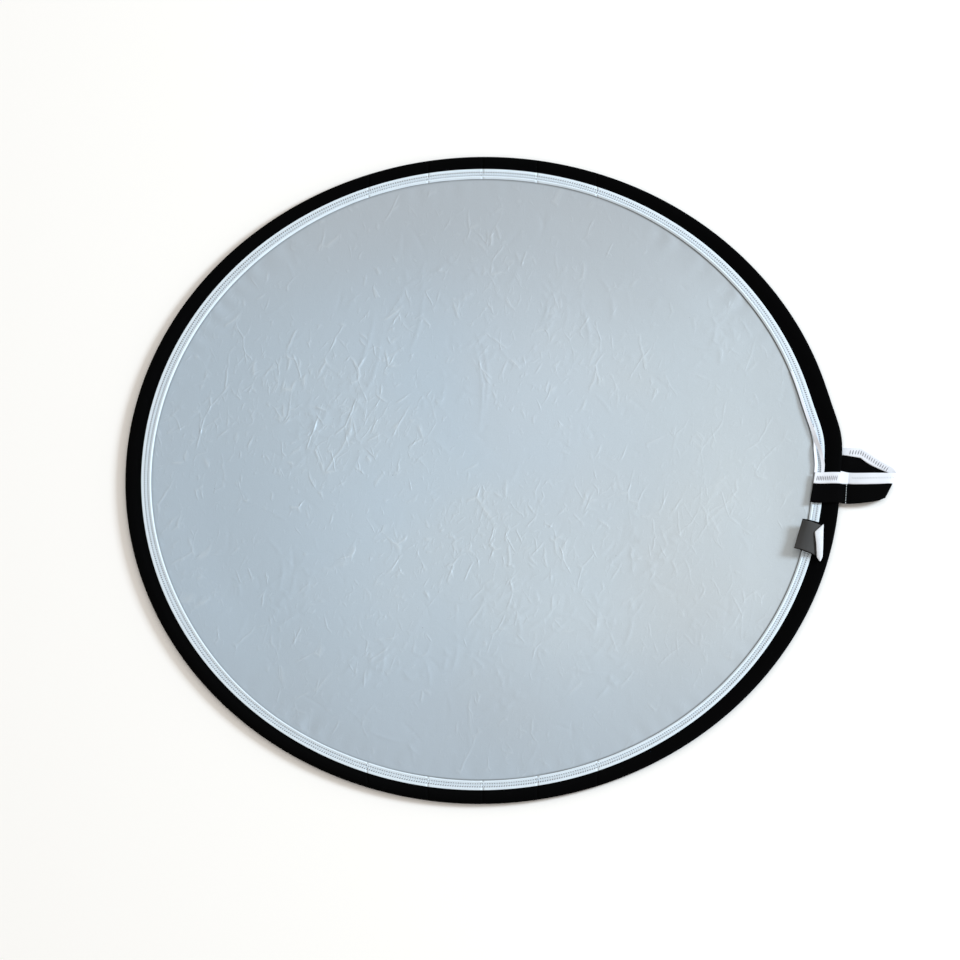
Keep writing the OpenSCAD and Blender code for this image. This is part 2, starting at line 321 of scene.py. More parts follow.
def wave(angle, seed, count, low, high):
    """A smooth wandering value of an angle, about -1 to 1.

    It is a sum of sines with whole numbers of turns, between low and high, and seeded phases.
    """
    draw = np.random.default_rng(seed)
    turns = draw.integers(low, high + 1, count)
    phase = draw.uniform(0, 2 * math.pi, count)
    total = sum(np.sin(n * angle + p) for n, p in zip(turns, phase))
    return total / math.sqrt(count)


def smooth(value, low, high):
    """0 below low, 1 above high, and an S between them."""
    t = np.clip((value - low) / (high - low), 0, 1)
    return t * t * (3 - 2 * t)


def bump(value, centre, width):
    """A bell of height 1 about centre."""
    return np.exp(-((value - centre) / width) ** 2)


def squared(value, power):
    """A sine or cosine pushed towards 1 or -1 by a power under 1, which squares off the ellipse it draws."""
    return np.sign(value) * np.abs(value) ** power


def half_turn(angle):
    """The same angle brought between minus and plus half a turn."""
    return np.mod(np.asarray(angle) + math.pi, 2 * math.pi) - math.pi


def hoop_drift(angle):
    """How far the sprung hoop stands off a true circle: slightly oval, and pulled out beside the handle."""
    pull = bump(half_turn(angle), math.radians(7.2), math.radians(4.8))
    wide = bump(half_turn(angle), math.radians(14), math.radians(20))
    return 1.4 * MM * np.sin(2 * angle) + 4.4 * MM * pull + 1.1 * MM * wide


def tape_edge(angle):
    """Radius of the casing's turned-in edge, which the tape covers.

    It is turned in a little more towards the handle, opposite it and at the right of the back edge, and a
    little less right beside the tab.
    """
    plain = TAPE_RADIUS - 0.4 * MM - 1.5 * MM * np.cos(2 * angle) - 0.9 * MM * np.cos(angle)
    beside_tab = 1.3 * MM * bump(half_turn(angle), math.radians(-1), math.radians(5))
    upper_right = 1.3 * MM * bump(half_turn(angle), math.radians(26), math.radians(32))
    return plain + hoop_drift(angle) + beside_tab - upper_right


def ring_patch(span, section, count, cell, shade):
    """A closed section carried along one arc of the rim.

    The section gives radius and height for each step round it, s from 0 to 1, and each angle. Its points go
    from one fold plane to the next, so that neighbouring bands meet exactly. Fans close its two ends.
    """
    s = np.arange(count) / count
    plain_r, plain_z = section(s[:, None], np.zeros((count, 1)))
    first, last = span(plain_r[:, 0])
    steps = max(2, int(abs(last[0] - first[0]) * RIM_RADIUS / cell) + 1)
    t = np.linspace(0, 1, steps)
    angle = first[:, None] + t[None, :] * (last - first)[:, None]
    r, z = section(s[:, None], angle)
    points = np.stack([r * np.cos(angle), r * np.sin(angle), z], axis=-1)
    around = np.hypot(np.diff(plain_r[:, 0], append=plain_r[0]), np.diff(plain_z[:, 0], append=plain_z[0]))
    across = np.concatenate([[0], np.cumsum(around)[:-1]])
    uv = np.stack([angle * RIM_RADIUS, np.broadcast_to(across[:, None], angle.shape)], axis=-1)
    dark = shade(s[:, None], angle) if shade else np.zeros(angle.shape)
    return [tube(points, uv, dark, turns_left(plain_r[:, 0], plain_z[:, 0]))]


def turns_left(a, b):
    """Whether a closed loop of points a, b goes anticlockwise: its corners' cross products add up above 0."""
    return float(np.sum(a * np.roll(b, -1) - b * np.roll(a, -1))) > 0


def tube(points, uv, shade, turn):
    """A closed patch from a grid: a row for each step round the section, a column for each section.

    A fan from the middle of the section closes each end. The faces look outward when turn says which way
    round the section goes.
    """
    count, steps = points.shape[:2]
    k = np.arange(count)
    after = (k + 1) % count
    middle = np.full(count, count * steps)
    first = np.stack([after * steps, k * steps, middle], axis=-1)
    last = np.stack([(k + 1) * steps - 1, (after + 1) * steps - 1, middle + 1], axis=-1)
    if turn:
        first, last = first[:, ::-1], last[:, ::-1]
    faces = grid_faces(count, steps, close_rows=True, turn=turn) + first.tolist() + last.tolist()
    ends = [points[:, 0].mean(axis=0), points[:, -1].mean(axis=0)]
    uv_ends = [uv[:, 0].mean(axis=0), uv[:, -1].mean(axis=0)]
    return Patch(np.vstack([points.reshape(-1, 3), ends]), np.vstack([uv.reshape(-1, 2), uv_ends]), faces,
                 np.append(shade, [0, 0]), 2 * count)


def ring_pieces(name, section, count, cell, material, nodes, shade=None):
    """The ring of a section, one piece for each band."""
    for band in BANDS:
        patches = [p for span in band.spans() for p in ring_patch(span, section, count, cell, shade)]
        piece = build(f"{name}_{band.label}", patches, material,
                      [f"{nodes}_{side}" for side in band.bodies])
        band.join(piece)


def thread_patch(starts, ends, up, rise, radius, dark=0.0, sides=6, rings=5):
    """Stitches: each a thread from a start to an end, arched towards up and thinning at both ends.

    Dark is how deep in shadow the stitches lie, 0 to 1.
    """
    starts, ends = np.atleast_2d(starts), np.atleast_2d(ends)
    t = np.linspace(0, 1, rings)
    along = ends - starts
    forward = along / np.linalg.norm(along, axis=1, keepdims=True)
    up = np.broadcast_to(np.asarray(up, float), starts.shape)
    side = np.cross(forward, up)
    side /= np.linalg.norm(side, axis=1, keepdims=True)
    over = np.cross(side, forward)
    arch = 4 * t * (1 - t)
    centre = (starts[:, None, :] + along[:, None, :] * t[None, :, None]
              + up[:, None, :] * (rise * arch)[None, :, None])
    girth = radius * (0.35 + 0.65 * np.sqrt(arch))
    turn = 2 * math.pi * np.arange(sides) / sides
    ring = (side[:, None, None, :] * np.cos(turn)[None, None, :, None]
            + over[:, None, None, :] * np.sin(turn)[None, None, :, None])
    points = centre[:, :, None, :] + ring * girth[None, :, None, None]
    one = grid_faces(rings, sides, close_columns=True)
    one.append(list(range(sides)))
    one.append([(rings - 1) * sides + k for k in reversed(range(sides))])
    block = rings * sides
    faces = [[k + n * block for k in face] for n in range(len(starts)) for face in one]
    uv = np.zeros((len(starts), rings, sides, 2))
    uv[..., 0] = (t * np.linalg.norm(along, axis=1).mean())[None, :, None]
    uv[..., 1] = (turn * radius)[None, None, :]
    return Patch(points, uv, faces, np.full(points.size // 3, dark))


# ---------------------------------------------------------------- shader building blocks

class Nodes:
    """Short hands for making and joining the nodes of one tree."""

    def __init__(self, tree):
        self.tree = tree

    def add(self, kind, **values):
        """A node with its properties and inputs set. An input that is to be linked is given as a socket."""
        node = self.tree.nodes.new(kind)
        for key, value in values.items():
            if key.startswith("in_"):
                socket = int(key[3:]) if key[3:].isdigit() else key[3:].replace("_", " ")
                self.feed(node.inputs[socket], value)
            else:
                setattr(node, key, value)
        return node

    def feed(self, socket, value):
        """Links an output, or sets a plain value."""
        if isinstance(value, bpy.types.NodeSocket):
            self.tree.links.new(value, socket)
        else:
            socket.default_value = value

    def math(self, operation, a, b=0.5):
        """One sum on numbers or sockets."""
        return self.add("ShaderNodeMath", operation=operation, in_0=a, in_1=b).outputs[0]

    def ramp(self, value, low, high):
        """0 to 1, in an S, as value goes from low to high."""
        node = self.add("ShaderNodeMapRange", interpolation_type="SMOOTHSTEP", in_Value=value,
                        in_From_Min=low, in_From_Max=high)
        return node.outputs["Result"]

    def noise(self, vector, scale, detail=2.0, rough=0.5):
        """Plain noise, 0 to 1."""
        return self.add("ShaderNodeTexNoise", in_Vector=vector, in_Scale=scale, in_Detail=detail,
                        in_Roughness=rough).outputs["Fac"]

    def away(self, place, centre):
        """Distance of a place from a centre."""
        node = self.add("ShaderNodeVectorMath", operation="DISTANCE", in_0=place, in_1=(*centre, 0))
        return node.outputs["Value"]

    def shade(self):
        """The shade that the piece's points carry, 0 to 1."""
        return self.add("ShaderNodeAttribute", attribute_name="shade").outputs["Fac"]

    def lay(self, mask, share, under, over):
        """One colour laid over another where a mask says, as strongly as share."""
        return self.mix(self.math("MULTIPLY", mask, share), under, over)

    def mix(self, factor, a, b):
        """Two colours mixed by a factor."""
        node = self.add("ShaderNodeMix", data_type="RGBA")
        colours = [s for s in node.inputs if s.type == "RGBA"]
        self.feed(node.inputs[0], factor)
        self.feed(colours[0], a)
        self.feed(colours[1], b)
        return next(s for s in node.outputs if s.type == "RGBA")


def group(name, inputs, outputs):
    """A node group with named number, vector or colour sockets; gives its tree, inputs and outputs."""
    kinds = {"value": "NodeSocketFloat", "vector": "NodeSocketVector", "colour": "NodeSocketColor"}
    tree = bpy.data.node_groups.new(name, "ShaderNodeTree")
    for label, kind, value in inputs:
        socket = tree.interface.new_socket(name=label, in_out="INPUT", socket_type=kinds[kind])
        if value is not None:
            socket.default_value = value
    for label, kind in outputs:
        tree.interface.new_socket(name=label, in_out="OUTPUT", socket_type=kinds[kind])
    made = Nodes(tree)
    return made, made.add("NodeGroupInput").outputs, made.add("NodeGroupOutput").inputs


def cloth_weave():
    """Plain weave: crossed threads that pass over and under, as a height and a mask of the gaps between."""
    n, inputs, outputs = group(
        "Cloth weave",
        [("Place", "vector", None), ("Thread pitch", "value", 0.0006), ("Unevenness", "value", 0.3)],
        [("Height", "value"), ("Gaps", "value")])
    parts = n.add("ShaderNodeSeparateXYZ", in_Vector=inputs["Place"])
    per_metre = n.math("DIVIDE", math.pi, inputs["Thread pitch"])
    wander = n.noise(inputs["Place"], 260.0, 2.0)
    lean = n.math("MULTIPLY", wander, n.math("MULTIPLY", inputs["Unevenness"], 3.0))
    across = n.math("ADD", n.math("MULTIPLY", parts.outputs["X"], per_metre), lean)
    down = n.math("ADD", n.math("MULTIPLY", parts.outputs["Y"], per_metre), lean)
    warp = n.math("ABSOLUTE", n.math("SINE", across))
    weft = n.math("ABSOLUTE", n.math("SINE", down))
    over = n.math("SINE", n.math("ADD", across, down))
    swap = n.ramp(over, -0.4, 0.4)
    height = n.math("ADD", n.math("MULTIPLY", warp, swap),
                    n.math("MULTIPLY", weft, n.math("SUBTRACT", 1.0, swap)))
    n.feed(outputs["Height"], height)
    # The gaps mask is for painted shade between the threads.
    n.feed(outputs["Gaps"], n.ramp(n.math("MULTIPLY", warp, weft), 0.45, 0.0))
    return n.tree


def colour_drift():
    """Slow change of colour across a cloth: three colours mixed by two broad patches of noise."""
    n, inputs, outputs = group(
        "Colour drift",
        [("Place", "vector", None), ("Size", "value", 6.0), ("First", "colour", None),
         ("Second", "colour", None), ("Third", "colour", None), ("Amount", "value", 0.5)],
        [("Colour", "colour")])
    near = n.ramp(n.noise(inputs["Place"], inputs["Size"], 3.0, 0.55), 0.35, 0.7)
    shifted = n.add("ShaderNodeVectorMath", operation="ADD", in_0=inputs["Place"], in_1=(3.7, 1.9, 5.1))
    far = n.ramp(n.noise(shifted.outputs[0], inputs["Size"], 2.0, 0.5), 0.42, 0.72)
    first = n.lay(near, inputs["Amount"], inputs["First"], inputs["Second"])
    n.feed(outputs["Colour"], n.lay(far, inputs["Amount"], first, inputs["Third"]))
    return n.tree


def lint_and_specks():
    """Sparse tiny specks: round spots at the centres of a fine scatter's cells, most of them left out."""
    n, inputs, outputs = group(
        "Lint and specks",
        [("Place", "vector", None), ("Density", "value", 90.0), ("Speck size", "value", 0.05)],
        [("Specks", "value")])
    cells = n.add("ShaderNodeTexVoronoi", feature="F1", in_Vector=inputs["Place"], in_Scale=inputs["Density"])
    tint = n.add("ShaderNodeSeparateColor", in_Color=cells.outputs["Color"])
    near = n.math("LESS_THAN", cells.outputs["Distance"], inputs["Speck size"])
    few = n.math("GREATER_THAN", tint.outputs["Red"], 0.93)
    n.feed(outputs["Specks"], n.math("MULTIPLY", near, few))
    return n.tree


def crease_net():
    """Straight creases that meet in threes: the borders between stretched cells, kept only in short runs.

    Gives the height of each crest and a mask of its middle, where a highlight is painted.
    """
    n, inputs, outputs = group(
        "Crease net",
        [("Place", "vector", None), ("Turn", "vector", None), ("Cell", "vector", None),
         ("Width", "value", 0.05), ("Cover", "value", 0.5), ("Runs", "value", 1.4)],
        [("Height", "value"), ("Crest", "value")])
    bend = n.add("ShaderNodeTexNoise", in_Vector=inputs["Place"], in_Scale=38.0, in_Detail=2.0)
    shift = n.add("ShaderNodeVectorMath", operation="MULTIPLY_ADD", in_0=bend.outputs["Color"],
                  in_1=(7 * MM, 7 * MM, 0), in_2=inputs["Place"])
    turned = n.add("ShaderNodeMapping", vector_type="TEXTURE", in_Vector=shift.outputs["Vector"],
                   in_Rotation=inputs["Turn"], in_Scale=inputs["Cell"])
    cells = n.add("ShaderNodeTexVoronoi", feature="DISTANCE_TO_EDGE", in_Vector=turned.outputs[0],
                  in_Scale=1.0, in_Randomness=1.0)
    share = n.math("DIVIDE", cells.outputs["Distance"], inputs["Width"])
    side = n.math("SUBTRACT", 1.0, n.math("MINIMUM", share, 1.0))
    region = n.noise(inputs["Place"], 6.0, 2.0, 0.5)
    run = n.noise(turned.outputs[0], inputs["Runs"], 1.0, 0.5)
    both = n.math("ADD", n.math("MULTIPLY", region, 0.32), n.math("MULTIPLY", run, 0.68))
    kept = n.add("ShaderNodeMapRange", in_Value=both)
    n.feed(kept.inputs["From Min"], inputs["Cover"])
    n.feed(kept.inputs["From Max"], n.math("ADD", inputs["Cover"], 0.07))
    n.feed(outputs["Height"], n.math("MULTIPLY", side, kept.outputs["Result"]))
    n.feed(outputs["Crest"], n.math("MULTIPLY", n.math("POWER", side, 2.5), kept.outputs["Result"]))
    return n.tree


GROUPS = {}


def placed(nodes, name, **values):
    """A shared group placed in a material, with its own values."""
    makers = {"weave": cloth_weave, "drift": colour_drift, "lint": lint_and_specks, "creases": crease_net}
    if name not in GROUPS:
        GROUPS[name] = makers[name]()
    node = nodes.add("ShaderNodeGroup", node_tree=GROUPS[name])
    for key, value in values.items():
        nodes.feed(node.inputs[key.replace("_", " ")], value)
    return node.outputs


def new_material(name):
    """A material with a Principled shader; gives the material, its nodes and the shader."""
    material = bpy.data.materials.new(name)
    material.use_nodes = True
    tree = material.node_tree
    tree.nodes.clear()
    nodes = Nodes(tree)
    shader = nodes.add("ShaderNodeBsdfPrincipled")
    output = nodes.add("ShaderNodeOutputMaterial")
    tree.links.new(shader.outputs[0], output.inputs[0])
    return material, nodes, shader


def add_bump(nodes, shader, height, distance, strength=1.0, under=None):
    """A Bump node on a height; it lies over another one if that is given."""
    node = nodes.add("ShaderNodeBump", in_Height=height, in_Distance=distance, in_Strength=strength)
    if under is not None:
        nodes.tree.links.new(under.outputs["Normal"], node.inputs["Normal"])
    nodes.tree.links.new(node.outputs["Normal"], shader.inputs["Normal"])
    return node


def cloth_place(nodes):
    """The piece's own UV map, which holds metres along the cloth."""
    return nodes.add("ShaderNodeUVMap", uv_map="cloth").outputs["UV"]


def faded(tint, share):
    """A colour times a share, opaque."""
    return tuple(share * v for v in tint[:3]) + (1,)


def silver_cloth():
    """Coated silver cloth: satin, faintly blue, drifting warmer and pinker, with a weave and creases."""
    cloth = settings()["cloth"]
    material, n, shader = new_material("Silver cloth")
    place = cloth_place(n)
    tint = placed(n, "drift", Place=place, Size=3.2, First=cloth.silver[:], Second=cloth.silver_warm[:],
                  Third=cloth.silver_pink[:], Amount=0.28)["Colour"]
    weave = placed(n, "weave", Place=place, Thread_pitch=0.45 * MM, Unevenness=0.4)
    creases, crest = 0.0, 0.0
    for turn, wide, tall, width, cover, strength in CREASE_NETS:
        net = placed(n, "creases", Place=place, Turn=(0, 0, math.radians(turn)),
                     Cell=(wide * MM, tall * MM, 1), Width=width, Cover=cover)
        creases = n.math("ADD", creases, n.math("MULTIPLY", net["Height"], strength))
        crest = n.math("MAXIMUM", crest, n.math("MULTIPLY", net["Crest"], strength))
    calm = n.math("MULTIPLY", n.ramp(n.away(place, (-0.12, 0.04)), 0.10, 0.38), 0.55)
    crumpled = n.math("SUBTRACT", 1.0, calm)
    creases = n.math("MULTIPLY", creases, crumpled)
    crest = n.math("MULTIPLY", crest, crumpled)
    specks = placed(n, "lint", Place=place, Density=60.0, Speck_size=0.03)["Specks"]
    spot = n.add("ShaderNodeSeparateXYZ", in_Vector=place).outputs
    front = n.ramp(n.math("MULTIPLY", spot["Y"], -1.0), 0.14, 0.36)
    # Painted light and shade, laid on by place: warmer towards the right, where the key light falls, darker
    # away from a point right of the middle, and darker along the back and front edges.
    tint = n.lay(n.ramp(spot["X"], -0.1, 0.42), 0.6, tint, cloth.silver_warm[:])
    tint = n.lay(n.ramp(n.away(place, (0.13, -0.02)), 0.12, 0.48), 0.85, tint, cloth.silver_falloff_shade[:])
    tint = n.lay(n.ramp(spot["Y"], 0.14, 0.36), 0.5, tint, cloth.silver_back_shade[:])
    tint = n.lay(front, 0.35, tint, cloth.silver_front_shade[:])
    # Painted highlight: paler along the crests of the creases.
    tint = n.lay(crest, 0.17, tint, cloth.crest_highlight[:])
    # Painted shade in the gaps of the weave.
    tint = n.lay(weave["Gaps"], 0.10, tint, (0.30, 0.33, 0.36, 1))
    tint = n.lay(specks, 0.5, tint, (0.12, 0.12, 0.13, 1))
    # Painted shadow of the tape's bead, from the shade its points carry.
    n.feed(shader.inputs["Base Color"], n.mix(n.shade(), tint, (0.13, 0.14, 0.15, 1)))
    shader.inputs["Metallic"].default_value = 0.25
    rough = n.math("ADD", n.math("MULTIPLY", n.noise(place, 40.0, 3.0), 0.12), 0.40)
    n.feed(shader.inputs["Roughness"], rough)
    fine = add_bump(n, shader, weave["Height"], 0.05 * MM, 0.35)
    folds = add_bump(n, shader, creases, 0.42 * MM, 1.0, under=fine)
    add_bump(n, shader, n.noise(place, 55.0, 4.0, 0.55), 0.8 * MM, 0.35, under=folds)
    return material


def white_cloth():
    """Plain white cloth of the back: matt, with a visible weave."""
    cloth = settings()["cloth"]
    material, n, shader = new_material("White cloth")
    place = cloth_place(n)
    tint = placed(n, "drift", Place=place, Size=4.0, First=cloth.white[:], Second=(0.76, 0.77, 0.77, 1),
                  Third=(0.82, 0.81, 0.76, 1), Amount=0.5)["Colour"]
    weave = placed(n, "weave", Place=place, Thread_pitch=0.6 * MM, Unevenness=0.5)
    # Painted shade in the gaps of the weave.
    n.feed(shader.inputs["Base Color"], n.lay(weave["Gaps"], 0.22, tint, (0.5, 0.5, 0.5, 1)))
    shader.inputs["Roughness"].default_value = 0.85
    fine = add_bump(n, shader, weave["Height"], 0.1 * MM, 0.5)
    creases = placed(n, "creases", Place=place, Turn=(0, 0, 0.6), Cell=(25 * MM, 45 * MM, 1), Width=0.08,
                     Cover=0.49)["Height"]
    add_bump(n, shader, creases, 0.4 * MM, 0.6, under=fine)
    return material


def black_cloth(name, tint, pitch):
    """Matt black polyester: a tight weave, a little lint, paler where the fold is worn."""
    material, n, shader = new_material(name)
    place = cloth_place(n)
    weave = placed(n, "weave", Place=place, Thread_pitch=pitch, Unevenness=0.35)
    worn = n.ramp(n.noise(place, 90.0, 4.0, 0.6), 0.55, 0.8)
    lint = placed(n, "lint", Place=place, Density=70.0, Speck_size=0.05)["Specks"]
    shade = n.lay(worn, 0.35, tint[:], faded(tint, 2.2))
    shade = n.lay(lint, 0.35, shade, (0.06, 0.065, 0.07, 1))
    # Painted shade in the gaps of the weave.
    n.feed(shader.inputs["Base Color"], n.lay(weave["Gaps"], 0.5, shade, (0.001, 0.001, 0.001, 1)))
    n.feed(shader.inputs["Roughness"], n.math("ADD", n.math("MULTIPLY", worn, -0.1), 0.92))
    shader.inputs["Specular IOR Level"].default_value = 0.03
    fine = add_bump(n, shader, weave["Height"], 0.12 * MM, 0.6)
    add_bump(n, shader, n.noise(place, 120.0, 3.0), 0.5 * MM, 0.3, under=fine)
    return material


def tape_cloth(name, tint, ribbed=True):
    """White tape: fine ribs across its run, a little grey in its hollows as painted shade."""
    material, n, shader = new_material(name)
    place = cloth_place(n)
    weave = placed(n, "weave", Place=place, Thread_pitch=0.5 * MM, Unevenness=0.25)
    dull = n.ramp(n.noise(place, 60.0, 3.0), 0.35, 0.75)
    shade = n.lay(dull, 0.35, tint[:], faded(tint, 0.855))
    # Painted shade in the gaps of the weave.
    shade = n.lay(weave["Gaps"], 0.2, shade, (0.42, 0.48, 0.58, 1))
    # Painted shade in the hollows under the stitches, from the shade its points carry.
    n.feed(shader.inputs["Base Color"], n.mix(n.shade(), shade, (0.16, 0.17, 0.22, 1)))
    shader.inputs["Roughness"].default_value = 0.6
    shader.inputs["Sheen Weight"].default_value = 0.15
    fine = add_bump(n, shader, weave["Height"], 0.1 * MM, 0.5)
    if ribbed:
        ribs = n.add("ShaderNodeTexWave", wave_type="BANDS", bands_direction="X", in_Vector=place,
                     in_Scale=320.0)
        add_bump(n, shader, ribs.outputs["Fac"], 0.06 * MM, 0.5, under=fine)
    return material


def thread_material(name, tint):
    """Sewing thread: twisted, softly shining."""
    material, n, shader = new_material(name)
    twist = n.add("ShaderNodeTexWave", wave_type="BANDS", bands_direction="DIAGONAL",
                  in_Vector=cloth_place(n), in_Scale=900.0).outputs["Fac"]
    shade = n.lay(twist, 0.25, tint[:], faded(tint, 0.7))
    # Painted shadow: greyer where the points carry shade.
    n.feed(shader.inputs["Base Color"], n.mix(n.shade(), shade, (0.14, 0.145, 0.18, 1)))
    shader.inputs["Roughness"].default_value = 0.5
    add_bump(n, shader, twist, 0.05 * MM, 0.5)
    return material


def spring_steel(name, tint, wear):
    """Rolled steel: brushed along its run, with faint dark wear."""
    material, n, shader = new_material(name)
    place = n.add("ShaderNodeTexCoord").outputs["Object"]
    streaks = n.add("ShaderNodeMapping", in_Vector=place, in_Scale=(30, 30, 1200))
    lines = n.noise(streaks.outputs[0], 4.0, 4.0, 0.6)
    n.feed(shader.inputs["Base Color"], n.lay(lines, wear, tint[:], (0.12, 0.11, 0.1, 1)))
    shader.inputs["Metallic"].default_value = 1.0
    n.feed(shader.inputs["Roughness"], n.math("ADD", n.math("MULTIPLY", lines, 0.25), 0.2))
    add_bump(n, shader, lines, 0.02 * MM, 0.6)
    return material


def wrap_tape():
    """Black cloth tape wound round the ferrule: matt, woven, a little dusty."""
    material, n, shader = new_material("Wrap tape")
    place = n.add("ShaderNodeTexCoord").outputs["Object"]
    weave = placed(n, "weave", Place=place, Thread_pitch=0.4 * MM, Unevenness=0.4)
    dust = n.ramp(n.noise(place, 90.0, 3.0), 0.5, 0.75)
    # Painted shade in the gaps of the weave.
    tint = n.mix(weave["Gaps"], (0.022, 0.022, 0.024, 1), (0.006, 0.006, 0.007, 1))
    n.feed(shader.inputs["Base Color"], n.lay(dust, 0.2, tint, (0.09, 0.09, 0.085, 1)))
    shader.inputs["Roughness"].default_value = 0.9
    add_bump(n, shader, weave["Height"], 0.1 * MM, 0.6)
    return material


def satin(name, tint, shine):
    """Woven satin ribbon: close ribs and a soft run of light."""
    material, n, shader = new_material(name)
    place = cloth_place(n)
    weave = placed(n, "weave", Place=place, Thread_pitch=0.3 * MM, Unevenness=0.2)
    patch = n.ramp(n.noise(place, 120.0, 3.0), 0.3, 0.8)
    shade = n.lay(patch, 0.3, tint[:], faded(tint, 0.75))
    # Painted shade in the gaps of the weave.
    n.feed(shader.inputs["Base Color"], n.lay(weave["Gaps"], 0.25, shade, (0.03, 0.03, 0.03, 1)))
    shader.inputs["Roughness"].default_value = 0.6
    shader.inputs["Specular IOR Level"].default_value = 0.25
    shader.inputs["Sheen Weight"].default_value = shine
    add_bump(n, shader, weave["Height"], 0.05 * MM, 0.5)
    return material


MATERIALS = {}


def finish_of(name):
    """A material by its plain name, made once."""
    rim, handle = settings()["rim"], settings()["handle"]
    makers = {
        "silver_cloth": silver_cloth,
        "white_cloth": white_cloth,
        "casing": lambda: black_cloth("Rim casing", rim.casing, 0.55 * MM),
        "strap": lambda: black_cloth("Handle strap", handle.strap, 0.5 * MM),
        "tape": lambda: tape_cloth("Binding tape", rim.tape),
        "edging": lambda: tape_cloth("Strap edging", handle.edging_white, ribbed=False),
        "white_thread": lambda: thread_material("White thread", rim.thread_white),
        "black_thread": lambda: thread_material("Black thread", (0.02, 0.02, 0.022, 1)),
        "steel": lambda: spring_steel("Spring steel", rim.steel, 0.5),
        "ferrule": lambda: spring_steel("Ferrule steel", (0.62, 0.63, 0.65, 1), 0.3),
        "wrap": wrap_tape,
        "label_face": lambda: satin("Grey satin", handle.label_face, 0.2),
        "label_back": lambda: satin("White satin", handle.label_back, 0.3),
    }
    if name not in MATERIALS:
        MATERIALS[name] = makers[name]()
    return MATERIALS[name]


def refinish(node, name):
    """Gives a CAD node's own mesh one of the materials."""
    mesh = frame["nodes"][node].data
    mesh.materials.clear()
    mesh.materials.append(finish_of(name))


# ---------------------------------------------------------------- cloth

def crease_lines():
    """Seeded creases: scattered single ones, branching clusters, then the long ones.

    Each is given as x, y, direction, length, height and width.
    """
    cloth = settings()["cloth"]
    draw = np.random.default_rng(CREASE_SEED)
    rows = []
    reach = 0.92 * CLOTH_RADIUS

    def add(x, y, direction, run, height, width):
        rows.append((x, y, direction, run, height, width))

    for _ in range(cloth.crease_count):
        r, a = reach * math.sqrt(draw.uniform()), draw.uniform(0, 2 * math.pi)
        lean = draw.choice([1.45, 0.75, 2.3]) + draw.normal(0, 0.35)
        add(r * math.cos(a), r * math.sin(a), lean, draw.uniform(10, 42) * MM,
            cloth.crease_height * draw.uniform(0.15, 0.6) * draw.choice([-1, 1]), draw.uniform(1.0, 2.4) * MM)
    for gx, gy, count, spread in CREASE_CLUSTERS:
        for _ in range(count):
            x = (gx + draw.normal(0, spread / 2)) * CLOTH_RADIUS
            y = (gy + draw.normal(0, spread / 2)) * CLOTH_RADIUS
            lean = draw.normal(0.9, 0.6)
            run = draw.uniform(14, 46) * MM
            high = cloth.crease_height * draw.uniform(0.5, 1.1)
            wide = draw.uniform(1.1, 2.2) * MM
            add(x, y, lean, run, high, wide)
            end_x, end_y = x + 0.5 * run * math.cos(lean), y + 0.5 * run * math.sin(lean)
            for side in (-1, 1):
                way = lean + side * draw.uniform(0.35, 0.9)
                branch = run * draw.uniform(0.35, 0.7)
                add(end_x + 0.5 * branch * math.cos(way), end_y + 0.5 * branch * math.sin(way), way, branch,
                    high * 0.7, wide)
    for x, y, lean, run in LONG_CREASES:
        add(x * CLOTH_RADIUS, y * CLOTH_RADIUS, lean, run, cloth.crease_height, 1.6 * MM)
    return rows


def crease_height(x, y):
    """Sum of the creases: across each line a sharp crest that dies away, along it a slow rise and fall."""
    total = np.zeros_like(x)
    for cx, cy, lean, run, high, wide in crease_lines():
        reach = run / 2 + 4 * wide
        near = (np.abs(x - cx) < reach) & (np.abs(y - cy) < reach)
        if not near.any():
            continue
        dx, dy = x[near] - cx, y[near] - cy
        along = dx * math.cos(lean) + dy * math.sin(lean)
        bow = 0.06 * run * (1 - (2 * along / run) ** 2)
        off = -dx * math.sin(lean) + dy * math.cos(lean) + bow
        fade = np.clip(1 - (2 * along / run) ** 2, 0, 1)
        total[near] += high * fade * np.exp(-np.sqrt((off / wide) ** 2 + 0.02))
    return total


def cloth_height(x, y):
    """Height of the taut cloth over its flat plane: slow waves, sharp creases, and gathers near the tape."""
    cloth = settings()["cloth"]
    r = np.hypot(x, y) / CLOTH_RADIUS
    angle = np.arctan2(y, x)
    draw = np.random.default_rng(WAVE_SEED)
    slow = np.zeros_like(x)
    for _ in range(9):
        kx, ky = draw.normal(0, 16, 2)
        slow += np.sin(kx * x + ky * y + draw.uniform(0, 2 * math.pi))
    slow *= cloth.swell / 3
    held = 1 - smooth(r, 0.80, 0.955)
    gathers = wave(angle, 21, 9, 40, 130) * bump(r, 0.965, 0.045) * (0.55 + 0.45 * wave(angle, 22, 4, 2, 9))
    return (slow * held + crease_height(x, y) * (1 - smooth(r, 0.93, 0.97))
            + cloth.pucker * gathers * (1 - smooth(r, 0.955, 0.975)))


def seam_shade(x, y):
    """Painted shadow: a dark line where the cloth goes in under the tape's bead, deepest towards the handle.
    """
    angle = np.arctan2(y, x)
    inside = tape_radius(angle, 1.0)
    deep = 0.35 + 0.65 * smooth(np.cos(angle + 0.35), -0.35, 0.6)
    return deep * smooth(np.hypot(x, y), inside - 2.4 * MM, inside - 0.6 * MM)


